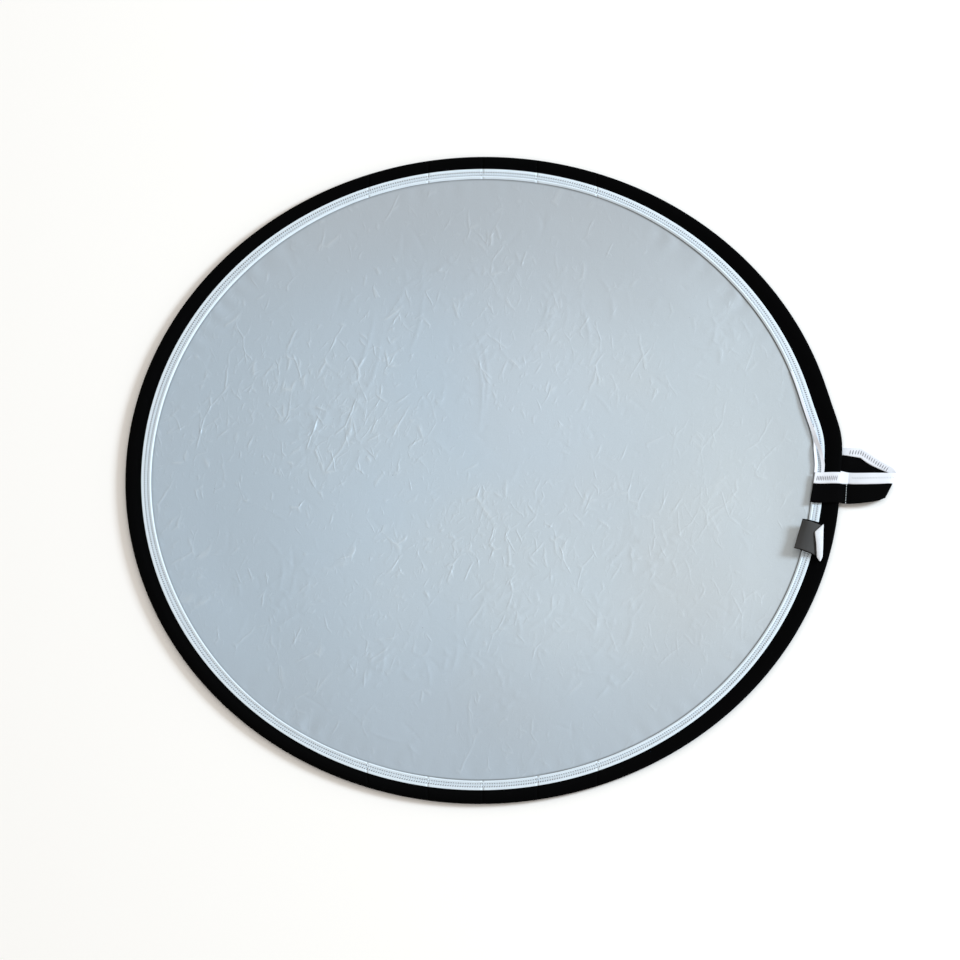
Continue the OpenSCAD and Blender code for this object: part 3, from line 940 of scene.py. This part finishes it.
def cloth_patch(band, cell, level, face_up):
    """The panel cloth of one band: x steps across the band, and y spreads over each chord of the disc."""
    low, high = band.reach(CLOTH_RADIUS - 0.5 * MM)
    columns = int((high - low) / cell) + 2
    rows = int(2 * CLOTH_RADIUS / cell)
    x = np.linspace(low, high, columns)
    half = np.sqrt(CLOTH_RADIUS ** 2 - x ** 2)
    y = np.linspace(-1, 1, rows)[:, None] * half[None, :]
    x = np.broadcast_to(x[None, :], y.shape).copy()
    z = level + cloth_height(x, y)
    return Patch(np.stack([x, y, z], axis=-1), np.stack([x, y], axis=-1),
                 grid_faces(rows, columns, turn=face_up), seam_shade(x, y))


def band_area(band):
    """Flat area of a band of the cloth, its width and its longest chord."""
    low, high = band.reach(CLOTH_RADIUS)
    x = np.linspace(low, high, 400)
    chord = 2 * np.sqrt(np.maximum(CLOTH_RADIUS ** 2 - x ** 2, 0))
    area = float(((chord[1:] + chord[:-1]) / 2 * np.diff(x)).sum())
    return area, high - low, float(chord.max())


def cloth_pieces(colour_name, cell, level, face_up):
    """One face's cloth, a sheet for each band."""
    name, cloth = f"{colour_name}_panel", f"{colour_name}_cloth"
    for band in BANDS:
        piece = build(f"{name}_{band.label}", [cloth_patch(band, cell, level, face_up)],
                      finish_of(cloth), [f"{name}_{side}" for side in band.bodies])
        band.join(piece)
        area, width, longest = band_area(band)


# ---------------------------------------------------------------- rim

def casing_section(s, angle):
    """Folded casing: round over the hoop at the rim, drawn in to the sewn edge, which runs under the tapes.

    Round the section s goes from the inner edge over the front, round the rim and back underneath.
    """
    under_tape, shoulder, edge_half, round_over = 8 * MM, 6.5 * MM, 1.2 * MM, 4.0 * MM
    seam = tape_edge(angle)
    inner, outer = seam - under_tape, RIM_RADIUS + hoop_drift(angle)
    t = np.where(s < 0.5, 2 * s, 2 - 2 * s)
    upper = np.where(s < 0.5, 1.0, -1.0)
    across = inner + (outer - inner) * (1 - (1 - t) ** 1.6)
    rise = smooth(across, seam - 0.5 * MM, outer - shoulder)
    half = edge_half + (RIM_THICK / 2 - edge_half) * rise
    rounded = np.sqrt(np.clip(1 - np.clip((across - outer) / round_over + 1, 0, 1) ** 2.4, 0, 1))
    ripple = 0.16 * MM * wave(angle, 31, 6, 30, 90) * bump(across, seam + 4 * MM, 4 * MM)
    return across, MID_Z + upper * (half * rounded + ripple)


def hoop_section(s, angle):
    """Flat steel band: a rounded rectangle, 0.8 mm thick and 4 mm high, 2.4 mm in from the rim."""
    turn = 2 * math.pi * s
    r = RIM_RADIUS + hoop_drift(angle) - 2.4 * MM + 0.4 * MM * squared(np.cos(turn), 0.25)
    return r, MID_Z + 2 * MM * squared(np.sin(-turn), 0.25) + 0 * angle


def tape_width(angle):
    """Width of the tape, which wanders a little as it was sewn."""
    plain = settings()["rim"].tape_width * (1 + 0.035 * wave(angle, 47, 5, 3, 11))
    return plain - 2.4 * MM * bump(half_turn(angle), math.radians(2.2), math.radians(2.7))


def tape_across(s):
    """Share of the tape's width, from its outer edge, for each step round its section."""
    return 0.5 - 0.5 * squared(np.cos(2 * math.pi * s), 0.6)


def tape_radius(angle, across):
    """Radius at a share of the tape's width in from its outer edge."""
    return tape_edge(angle) + TAPE_OVERLAP - tape_width(angle) * across


def tape_lie(angle, across, side):
    """How far the tape wanders up and down, more towards its inner edge."""
    return 0.10 * MM * wave(angle, 41 + side, 7, 25, 80) * across


def tape_shade(s, angle):
    """Painted shade in the hollows under the ladder stitches and the straight row."""
    across = tape_across(s)
    face = (np.sin(2 * math.pi * s) > 0).astype(float)
    rows = 0.22 * bump(across, LADDER_AT, 0.10) + 0.30 * bump(across, STRAIGHT_ROW_AT, 0.04)
    return face * rows * (0.85 + 0.15 * wave(angle, 51, 4, 5, 17))


def tape_section(side):
    """Section of the tape on the front, side 1, or the back, side -1.

    A thin flat loop from its outer edge to its inner one: on its face a plain band, a sewn hollow, a groove
    under the straight stitches, and a bead where the edge is rolled.
    """
    rim = settings()["rim"]

    def section(s, angle):
        turn = 2 * math.pi * s
        across = tape_across(s)
        over = squared(np.sin(turn), 0.35)
        face = np.clip(over, 0, 1)
        shape = (rim.bead * bump(across, BEAD_AT, 0.10) - 0.35 * MM * bump(across, 0.66, 0.035)
                 - 0.15 * MM * bump(across, 0.45, 0.14) + 0.12 * MM * bump(across, 0.12, 0.12))
        sag = -0.55 * MM * smooth(across, 0.75, 1.0)
        height = (TAPE_SEAT - MID_Z + rim.tape_thick * (0.5 + 0.5 * over) + face * shape
                  + tape_lie(angle, across, side) + sag)
        return tape_radius(angle, across), MID_Z + side * height

    return section


def stitch_angles():
    """Angle of each stitch round the tape, and the step between them, a whole number to the turn."""
    rim = settings()["rim"]
    count = int(2 * math.pi * (TAPE_RADIUS - rim.tape_width / 2) / rim.stitch)
    return 2 * math.pi * np.arange(count) / count, 2 * math.pi / count


def tape_point(angle, across, side, lift):
    """A point on the tape's face, at a share of its width in from the outer edge."""
    r = tape_radius(angle, across)
    height = TAPE_SEAT - MID_Z + settings()["rim"].tape_thick + lift + tape_lie(angle, across, side)
    return np.stack([r * np.cos(angle), r * np.sin(angle), MID_Z + side * height], axis=-1)


def stitch_pieces(side, name):
    """Overlock and straight stitches of one tape, a piece for each band.

    Each stitch of the ladder slants across the hollow. Each straight stitch lies in the groove by the bead.
    """
    rim = settings()["rim"]
    angles, step = stitch_angles()
    up = np.array([0, 0, side])
    # Each row: start and end as shares of a step along and of the width in, rise of the arch, and shadow
    # Rows with shadow 1 are grey ticks between the white stitches: painted shadow in the slots.
    rows = [
        (0.00, 0.25, 0.35, 0.45, 0.30 * MM, 0.0),
        (0.50, 0.27, 0.78, 0.41, 0.12 * MM, 1.0),
        (0.35, 0.45, 0.05, 0.60, 0.30 * MM, 0.0),
        (0.05, 0.655, 0.50, 0.665, 0.22 * MM, 0.0),
        (0.58, 0.65, 0.98, 0.67, 0.10 * MM, 1.0),
    ]
    for band in BANDS:
        patches = []
        for first, inward, second, further, rise, dark in rows:
            starts = tape_point(angles + first * step, inward, side, -0.1 * MM)
            ends = tape_point(angles + second * step, further, side, -0.1 * MM)
            kept = band.holds(starts[:, 0])
            girth = rim.thread * (1.15 if dark else 1)
            patches.append(thread_patch(starts[kept], ends[kept], up, rise, girth, dark))
        piece = build(f"{name}_{band.label}", patches, finish_of("white_thread"))
        band.join(piece)


# ---------------------------------------------------------------- handle, label and tape end

def spline(rows, count):
    """A smooth curve through points: cubic pieces whose slopes are half the chord between neighbours."""
    rows = np.asarray(rows, float)
    last = len(rows) - 1
    t = np.linspace(0, last, count)
    k = np.clip(t.astype(int), 0, last - 1)
    f = (t - k)[:, None]
    slope = np.gradient(rows, axis=0)
    a, b = rows[k], rows[k + 1]
    da, db = slope[k], slope[k + 1]
    return ((2 * f ** 3 - 3 * f ** 2 + 1) * a + (f ** 3 - 2 * f ** 2 + f) * da
            + (3 * f ** 2 - 2 * f ** 3) * b + (f ** 3 - f ** 2) * db)


def rim_point(x, y, z):
    """A point given in millimetres: x out from the rim, y along it from the strap's middle line, z up."""
    return (RIM_RADIUS + (x - 1.2) * MM, (y - 1.3) * MM, z * MM)


def edge_line(rows):
    """Points given in millimetres beside the rim, as an array."""
    return np.array([rim_point(*row) for row in rows])


def strap_frame(top, low, count):
    """A strap between two edge curves.

    Gives its top edge, the way across towards the low edge, its outward normal, its width and the length run
    so far, at each of count places along it.
    """
    top, low = spline(top, count), spline(low, count)
    across = low - top
    width = np.linalg.norm(across, axis=1, keepdims=True)
    middle = (top + low) / 2
    forward = np.gradient(middle, axis=0)
    normal = np.cross(across, forward)
    normal /= np.linalg.norm(normal, axis=1, keepdims=True)
    run = np.concatenate([[0], np.cumsum(np.linalg.norm(np.diff(middle, axis=0), axis=1))])
    return top, across / width, normal, width[:, 0], run


def tape_strand(degrees, inward, width, lift, roll):
    """A strand of the loose tape end, given at some angles round the rim.

    At each angle it has its distance out from the tape's inner edge, its width and its height over the tape,
    all in millimetres, and how far it is rolled.
    """
    angle = np.radians(degrees)
    inner = tape_edge(angle) - tape_width(angle) + np.array(inward) * MM
    wide = np.array(width) * MM
    level = TAPE_SEAT + settings()["rim"].tape_thick + np.array(lift) * MM
    rows = []
    for way in (1, 0):
        r = inner + way * wide
        z = level + (way - 0.5) * wide * np.array(roll)
        rows.append(np.stack([r * np.cos(angle), r * np.sin(angle), z], axis=-1))
    return strap_frame(*rows, 140)


def strap_patch(strap, section):
    """A closed section carried along a strap.

    The section gives, for each step round it, the distance in from the top edge and the height over the
    strap's middle, for every place along the strap.
    """
    top, across, normal, width, run = strap
    inward, height = section(width, run)
    points = (top[None, :, :] + across[None, :, :] * inward[:, :, None]
              + normal[None, :, :] * height[:, :, None])
    uv = np.stack([np.broadcast_to(run[None, :], inward.shape), inward], axis=-1)
    half = inward.shape[1] // 2
    return [tube(points, uv, np.zeros(inward.shape), turns_left(inward[:, half], height[:, half]))]


def web_section(thick, steps=40):
    """The strap's flat web, with rounded edges and a slightly crowned face."""
    def section(width, run):
        turn = 2 * math.pi * np.arange(steps)[:, None] / steps
        inward = width[None, :] * (0.5 - 0.5 * squared(np.cos(turn), 0.3))
        crown = 0.12 * MM * np.cos(math.pi * (inward / width[None, :] - 0.5))
        return inward, squared(np.sin(turn), 0.4) * thick / 2 + crown
    return section


def edging_section(thick, cover, outside, inside):
    """White edging folded over the strap's top edge, as thick as cover.

    Outside and inside are its widths on the strap's two faces, the second a function of the run.
    """
    def section(width, run):
        wide_out = np.broadcast_to(outside, width.shape)
        wide_in = np.broadcast_to(inside(run), width.shape)
        half = thick / 2
        t = np.linspace(0, 1, 9)[:, None]
        bend = np.linspace(0, math.pi, 9)[1:-1, None]
        over = half + cover
        ones = np.ones((1, len(width)))
        outer = [(wide_out[None, :] * (1 - t), over * ones + 0 * t),
                 (-over * np.sin(bend) * ones, over * np.cos(bend) * ones),
                 (wide_in[None, :] * t, -over * ones + 0 * t)]
        inner = [(wide_in[None, :] * (1 - t), -half * ones + 0 * t),
                 (-half * np.sin(bend[::-1]) * ones, half * np.cos(bend[::-1]) * ones),
                 (wide_out[None, :] * t, half * ones + 0 * t)]
        return tuple(np.concatenate(parts) for parts in zip(*(outer + inner)))
    return section


def loop_frame():
    """The loop strap: out over the front, round the tip, and back beneath, set to one side."""
    top = edge_line([
        (2, 8.4, 6.8), (9, 7.4, 5.4), (15, 6.2, 6.4), (26, 5.6, 7.6), (40, 5.6, 7.9), (54, 5.6, 7.9),
        (61, 5.9, 7.4), (64.6, 6.3, 6.0), (65.2, 6.9, 4.2), (64.3, 9.5, 2.4), (61.2, 14.6, 1.5),
        (50, 22.3, 1.1), (38, 30.6, 1.1), (29, 37.0, 1.2), (26, 39.0, 1.2), (22, 39.4, 1.3), (14, 39.4, 1.6),
        (6, 39.4, 1.4), (-4, 39.4, 0.7), (-22, 39.4, 0.7)])
    low = edge_line([
        (2, -29.6, 6.8), (9, -30.4, 5.0), (15, -30.8, 6.0), (26, -30.6, 7.4), (36, -29.4, 7.7),
        (44, -27.6, 7.6), (48.4, -25.6, 7.0), (50.6, -24.0, 5.8), (51.4, -23.2, 4.2), (50.6, -21.6, 2.4),
        (48, -18.6, 1.5), (40, -10.8, 1.1), (32, -3.8, 1.1), (25, 1.4, 1.2), (22, 2.6, 1.2), (19, 2.9, 1.3),
        (14, 2.9, 1.6), (6, 2.9, 1.4), (-4, 2.9, 0.7), (-22, 2.9, 0.7)])
    return strap_frame(top, low, 220)


def tab_frame():
    """The front tab: from the cloth over the tape and the rim to the stitch row."""
    top = edge_line([
        (-26.4, 5.8, 9.2), (-20, 5.8, 8.6), (-12, 5.9, 8.9), (-5, 5.9, 9.3), (1, 5.9, 8.9), (5, 6.0, 7.4),
        (10.8, 6.2, 6.3)])
    low = edge_line([
        (-32.4, -30.6, 9.8), (-22, -30.7, 8.7), (-13, -30.8, 8.9), (-6, -30.9, 9.3), (0, -30.9, 8.9),
        (4, -31.0, 7.2), (8.6, -31.0, 6.1)])
    return strap_frame(top, low, 60)


def strap_stitches(strap, start, stop, pitch, offsets, side, radius, dark):
    """Ladder stitches along a strap's edging, between two places on its run, each slanting across it.

    Offsets are the distances in from the top edge at which a stitch starts and ends. Side is the strap's
    face, 1 outside and -1 inside. Dark is how deep in painted shadow the stitches lie, 0 to 1.
    """
    top, across, normal, _, run = strap
    handle = settings()["handle"]
    places = np.arange(start, stop, pitch)

    def at(place, inward, lift):
        row = np.stack([np.interp(place, run, (top + across * inward)[:, k]) for k in range(3)], axis=-1)
        out = np.stack([np.interp(place, run, normal[:, k]) for k in range(3)], axis=-1)
        return row + out * lift, out

    lift = side * (handle.strap_thick / 2 + handle.edging_thick)
    first, out = at(places, offsets[0], lift)
    second, _ = at(places + 0.45 * pitch, offsets[1], lift)
    return thread_patch(first, second, out * side, 0.2 * MM, radius, dark)


def label_point(a, b):
    """Place on the label's grey ply: a runs from the free edge to the sewn one, b from its top to its bottom.

    Straight between four corners, raised to the free edge, bowed, and turned up a little along both ends.
    """
    corners = {"free_top": (-40.8, -55.6, 16.4), "free_low": (-50.6, -89.2, 15.6),
               "sewn_top": (-18.5, -59.5, 9.0), "sewn_low": (-25.2, -96.2, 8.8)}
    at = {key: np.array(rim_point(*value)) for key, value in corners.items()}
    a, b = a[..., None], b[..., None]
    flat = ((1 - a) * ((1 - b) * at["free_top"] + b * at["free_low"])
            + a * ((1 - b) * at["sewn_top"] + b * at["sewn_low"]))
    bow = (1.8 * MM * np.sin(math.pi * a) + 0.9 * MM * (2 * b - 1) ** 2 * (1 - a)
           - 2.2 * MM * smooth(1 - a, 0.7, 1.1))
    flat[..., 2:] += bow
    return flat


def under_point(a, b):
    """Place on the label's lower ply: just beneath the grey one, and shifted back along the top."""
    # The strip of black that shows past the grey ply's top is painted shadow in the gap between the plies.
    points = label_point(a, b)
    points[..., 2] -= (0.6 + 1.6 * np.sin(math.pi * np.clip(a, 0, 1))) * MM
    points[..., 1] += (2.2 + 1.2 * a) * MM * (1 - b)
    return points


def tail_point(a, b):
    """Place on the label's tail: a runs from its fold to its edge, b from its top to its rounded foot."""
    fold = edge_line([(-17.8, -59.6, 12.6), (-27.2, -69.4, 14.4), (-25.6, -84.0, 13.0), (-25.0, -99.0, 11.2),
                      (-22.0, -104.0, 10.8)])
    edge = edge_line([(-17.2, -59.8, 12.2), (-17.6, -70.0, 12.0), (-17.9, -84.0, 11.6), (-18.5, -98.4, 11.0),
                      (-20.9, -104.0, 10.8)])
    share = np.linspace(0, 1, len(fold))
    start, end = (np.stack([np.interp(b, share, line[:, k]) for k in range(3)], axis=-1)
                  for line in (fold, edge))
    points = start + (end - start) * a[..., None]
    points[..., 2] += 0.7 * MM * np.sin(math.pi * a)
    return points


def sheet_patch(surface, across, down):
    """A ply of the label: two copies of a surface of two shares, a ply apart, joined round their border."""
    a, b = np.meshgrid(np.linspace(0, 1, across), np.linspace(0, 1, down), indexing="ij")
    points = surface(a, b)
    du = np.gradient(points, axis=0)
    dv = np.gradient(points, axis=1)
    normal = np.cross(du, dv)
    normal /= np.linalg.norm(normal, axis=-1, keepdims=True)
    uv = np.stack([np.cumsum(np.linalg.norm(du, axis=-1), axis=0),
                   np.cumsum(np.linalg.norm(dv, axis=-1), axis=1)], axis=-1)
    front, back = points + normal * PLY / 2, points - normal * PLY / 2
    number = np.arange(across * down).reshape(across, down)
    border = np.concatenate([number[:, 0], number[-1, 1:], number[-2::-1, -1], number[0, -2:0:-1]])
    size = across * down
    faces = grid_faces(across, down)
    faces += [[k + size for k in reversed(face)] for face in faces]
    after = np.roll(border, -1)
    faces += np.stack([border, border + size, after + size, after], axis=-1).tolist()
    return Patch(np.concatenate([front.reshape(-1, 3), back.reshape(-1, 3)]),
                 np.concatenate([uv.reshape(-1, 2)] * 2), faces)


# ---------------------------------------------------------------- operators

class REFLECTOR_OT_hoop(Operator):
    """Make the spring-steel hoop and finish the ferrule and its wrap"""
    bl_idname = "reflector.hoop"
    bl_label = "Hoop"

    def execute(self, context):
        ring_pieces("hoop_band", hoop_section, 16, 8 * MM, finish_of("steel"), "hoop_band")
        refinish("hoop_ferrule", "ferrule")
        refinish("ferrule_wrap", "wrap")
        return {"FINISHED"}


class REFLECTOR_OT_casing(Operator):
    """Make the black rim casing"""
    bl_idname = "reflector.casing"
    bl_label = "Rim casing"

    def execute(self, context):
        ring_pieces("rim_casing", casing_section, 48, 3 * MM, finish_of("casing"),
                    "rim_casing")
        return {"FINISHED"}


class REFLECTOR_OT_tapes(Operator):
    """Make the white binding tapes and their stitches"""
    bl_idname = "reflector.tapes"
    bl_label = "Binding tapes"

    def execute(self, context):
        for side, name in ((1, "front"), (-1, "back")):
            ring_pieces(f"{name}_binding", tape_section(side), 56, 3 * MM, finish_of("tape"),
                        f"{name}_binding", tape_shade)
            stitch_pieces(side, f"{name}_stitches")
        return {"FINISHED"}


class REFLECTOR_OT_panels(Operator):
    """Make the silver front cloth and the white back cloth"""
    bl_idname = "reflector.panels"
    bl_label = "Panel cloths"

    def execute(self, context):
        cell = settings()["cloth"].cell
        cloth_pieces("silver", cell, CLOTH_TOP, True)
        cloth_pieces("white", 2.2 * cell, CLOTH_LOW - 0.35 * MM, False)
        return {"FINISHED"}


class REFLECTOR_OT_tape_end(Operator):
    """Make the lifted end of the tape beside the handle"""
    bl_idname = "reflector.tape_end"
    bl_label = "Tape end"

    def execute(self, context):
        crossing_over = tape_strand([0.9, 2.4, 4.0, 5.4, 6.8, 8.6, 11.0, 14.0, 17.5, 21.0],
                                    [7.2, 6.6, 5.6, 4.0, 1.8, 0.5, -0.2, 0.0, 0.3, 0.8],
                                    [3.6, 4.0, 4.2, 4.4, 4.4, 4.2, 3.6, 3.0, 2.4, 1.6],
                                    [1.1, 1.6, 1.9, 2.2, 2.3, 2.1, 1.7, 1.2, 0.7, 0.2],
                                    [0.0, 0.1, 0.2, 0.45, 0.5, 0.3, 0.1, 0.0, 0.0, 0.0])
        coming_under = tape_strand([0.9, 2.4, 4.0, 5.6, 7.0, 8.6, 10.2],
                                   [-0.4, -0.5, -0.5, -0.2, 1.2, 3.6, 5.6],
                                   [3.4, 3.2, 3.0, 2.8, 2.8, 2.0, 0.5],
                                   [1.3, 1.4, 1.4, 1.1, 0.8, 0.4, 0.1],
                                   [-0.3, -0.3, -0.4, -0.3, 0.0, 0.0, 0.0])
        for name, strand in (("tape_end_over", crossing_over), ("tape_end_under", coming_under)):
            piece = build(name, strap_patch(strand, web_section(settings()["rim"].tape_thick)),
                          finish_of("edging"), ["binding_tail"])
            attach(piece, "right_outer")
        return {"FINISHED"}


class REFLECTOR_OT_handle(Operator):
    """Make the strap handle: tab, loop, white edging and stitches"""
    bl_idname = "reflector.handle"
    bl_label = "Handle"

    def execute(self, context):
        handle, rim = settings()["handle"], settings()["rim"]
        thick, cover = handle.strap_thick, handle.edging_thick
        loop, tab = loop_frame(), tab_frame()

        def wide_at_turn(run):
            return 7 * MM + 5 * MM * bump(run, 98 * MM, 22 * MM)

        def even(run):
            return 7 * MM + 0 * run

        web = build("handle_loop_strap", strap_patch(loop, web_section(thick)), finish_of("strap"),
                    ["handle_loop", "handle_back_tab"])
        edging = build("handle_loop_edging_tape",
                       strap_patch(loop, edging_section(thick, cover, handle.edging, wide_at_turn)),
                       finish_of("edging"), ["handle_loop_edging"])
        outer_row = strap_stitches(loop, 14 * MM, 56 * MM, rim.stitch, (4.6 * MM, 6.6 * MM), 1,
                                   0.8 * rim.thread, 0.45)
        inner_row = strap_stitches(loop, 72 * MM, 116 * MM, rim.stitch, (2.0 * MM, 7.8 * MM), -1,
                                   rim.thread, 1.0)
        ladder = build("handle_loop_stitches", [outer_row, inner_row], finish_of("white_thread"))
        for piece in (web, edging, ladder):
            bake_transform(piece)
        plain = build("handle_front_tab_strap", strap_patch(tab, web_section(thick)),
                      finish_of("strap"), ["handle_front_tab"])
        tab_edge = build("handle_front_tab_edging",
                         strap_patch(tab, edging_section(thick, cover, handle.edging, even)),
                         finish_of("edging"), ["handle_tab_edging"])
        tab_row = strap_stitches(tab, 3.5 * MM, 27 * MM, 0.78 * rim.stitch, (9.8 * MM, 3.6 * MM), 1,
                                 0.9 * rim.thread, 1.0)
        tab_ladder = build("handle_tab_stitches", [tab_row], finish_of("white_thread"))
        row = build("handle_seam_stitches", [self.seam()], finish_of("white_thread"),
                    ["handle_stitch_row"])
        for piece in (plain, tab_edge, tab_ladder, row):
            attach(piece, "right_outer")
        return {"FINISHED"}

    @staticmethod
    def seam(count=8):
        """The row of stitches across the strap beside the rim: it leans a little, and so does each stitch."""
        y = np.linspace(-9.0, -30.5, count)
        x = 7.6 + (y + 9.5) * 0.055
        starts = np.stack([RIM_RADIUS + x * MM, y * MM, np.full(count, 7.5 * MM)], axis=-1)
        stitch = np.array([-0.1, -1.9, -0.05]) * MM
        return thread_patch(starts, starts + stitch, (0, 0, 1), 0.3 * MM, 0.33 * MM)


class REFLECTOR_OT_label(Operator):
    """Make the folded satin label and its stitches"""
    bl_idname = "reflector.label"
    bl_label = "Label"

    def execute(self, context):
        front = build("label_grey_ply", [sheet_patch(label_point, 26, 30)], finish_of("label_face"),
                      ["label_front"])
        # The lower ply is black strap cloth; its strip along the top is painted shadow.
        back = build("label_under_ply", [sheet_patch(under_point, 26, 30)], finish_of("strap"),
                     ["label_back"])
        for piece in (front, back):
            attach(piece, "label")
        tail = build("label_tail_ply", [sheet_patch(tail_point, 10, 26)], finish_of("label_back"),
                     ["label_tail"])
        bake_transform(tail)
        refinish("label_stitch_row", "black_thread")
        return {"FINISHED"}


class REFLECTOR_OT_stage(Operator):
    """Make the floor, the soft lights and the camera"""
    bl_idname = "reflector.stage"
    bl_label = "Stage"

    def execute(self, context):
        stage = settings()["stage"]
        scene = context.scene
        mesh = bpy.data.meshes.new("floor")
        corners = [(x * FLOOR_HALF, y * FLOOR_HALF, 0) for x, y in ((-1, -1), (1, -1), (1, 1), (-1, 1))]
        mesh.from_pydata(corners, [], [(0, 1, 2, 3)])
        floor = bpy.data.objects.new("floor", mesh)
        scene.collection.objects.link(floor)
        material, _, shader = new_material("Floor")
        shader.inputs["Base Color"].default_value = stage.floor[:]
        shader.inputs["Roughness"].default_value = 0.9
        mesh.materials.append(material)

        world = bpy.data.worlds.new("Studio")
        scene.world = world
        world.use_nodes = True
        background = world.node_tree.nodes["Background"].inputs
        background["Color"].default_value = stage.sky_tint[:]
        background["Strength"].default_value = stage.sky
        scene.view_settings.view_transform = "Standard"

        self.light(scene, "key", KEY_PLACE, KEY_SIZE, stage.key_power, stage.key_tint[:3])

        data = bpy.data.cameras.new("camera")
        camera = bpy.data.objects.new("camera", data)
        scene.collection.objects.link(camera)
        data.lens = stage.lens
        data.sensor_width = 36
        data.clip_end = 2 * stage.distance
        up = np.array([0, math.sin(stage.elevation), math.cos(stage.elevation)])
        back = np.array([0, -math.cos(stage.elevation), math.sin(stage.elevation)])
        aim = np.array([-2.8 * MM, 0, MID_Z]) - up * 1.6 * MM
        camera.location = aim + back * stage.distance
        camera.rotation_euler = (math.pi / 2 - stage.elevation, 0, 0)
        scene.camera = camera
        return {"FINISHED"}

    @staticmethod
    def light(scene, name, place, size, watts, tint):
        """An area light that faces the disc's centre."""
        data = bpy.data.lights.new(name, "AREA")
        data.size = size
        data.energy = watts
        data.color = tint
        lamp = bpy.data.objects.new(name, data)
        lamp.location = place
        way = -np.array(place)
        flat = math.hypot(way[0], way[1])
        lamp.rotation_euler = (math.atan2(flat, -way[2]), 0, math.atan2(way[1], way[0]) - math.pi / 2)
        scene.collection.objects.link(lamp)


class REFLECTOR_PT_panel(Panel):
    """Sidebar panel with the settings and one button for each group of pieces"""
    bl_idname = "REFLECTOR_PT_panel"
    bl_label = "Reflector disc"
    bl_space_type = "VIEW_3D"
    bl_region_type = "UI"
    bl_category = "Reflector"

    def draw(self, context):
        for title, values in settings().items():
            box = self.layout.box()
            box.label(text=title.title())
            for key in values.__annotations__:
                box.prop(values, key)
        for operator in OPERATORS:
            self.layout.operator(operator.bl_idname)


OPERATORS = [REFLECTOR_OT_stage, REFLECTOR_OT_hoop, REFLECTOR_OT_casing, REFLECTOR_OT_panels,
             REFLECTOR_OT_tapes, REFLECTOR_OT_tape_end, REFLECTOR_OT_handle, REFLECTOR_OT_label]
GROUPS_OF_SETTINGS = {"reflector_cloth": ReflectorClothSettings, "reflector_rim": ReflectorRimSettings,
                      "reflector_handle": ReflectorHandleSettings, "reflector_stage": ReflectorStageSettings}


def register():
    """Registers the classes and hangs the settings on the scene."""
    for cls in [*GROUPS_OF_SETTINGS.values(), *OPERATORS, REFLECTOR_PT_panel]:
        bpy.utils.register_class(cls)
    for name, cls in GROUPS_OF_SETTINGS.items():
        setattr(bpy.types.Scene, name, PointerProperty(type=cls))


def unregister():
    """Takes the settings and the classes away again."""
    for name in GROUPS_OF_SETTINGS:
        delattr(bpy.types.Scene, name)
    for cls in reversed([*GROUPS_OF_SETTINGS.values(), *OPERATORS, REFLECTOR_PT_panel]):
        bpy.utils.unregister_class(cls)


def main():
    """Builds everything in order."""
    register()
    for operator in OPERATORS:
        space, name = operator.bl_idname.split(".")
        getattr(getattr(bpy.ops, space), name)()


if __name__ == "__main__":
    main()
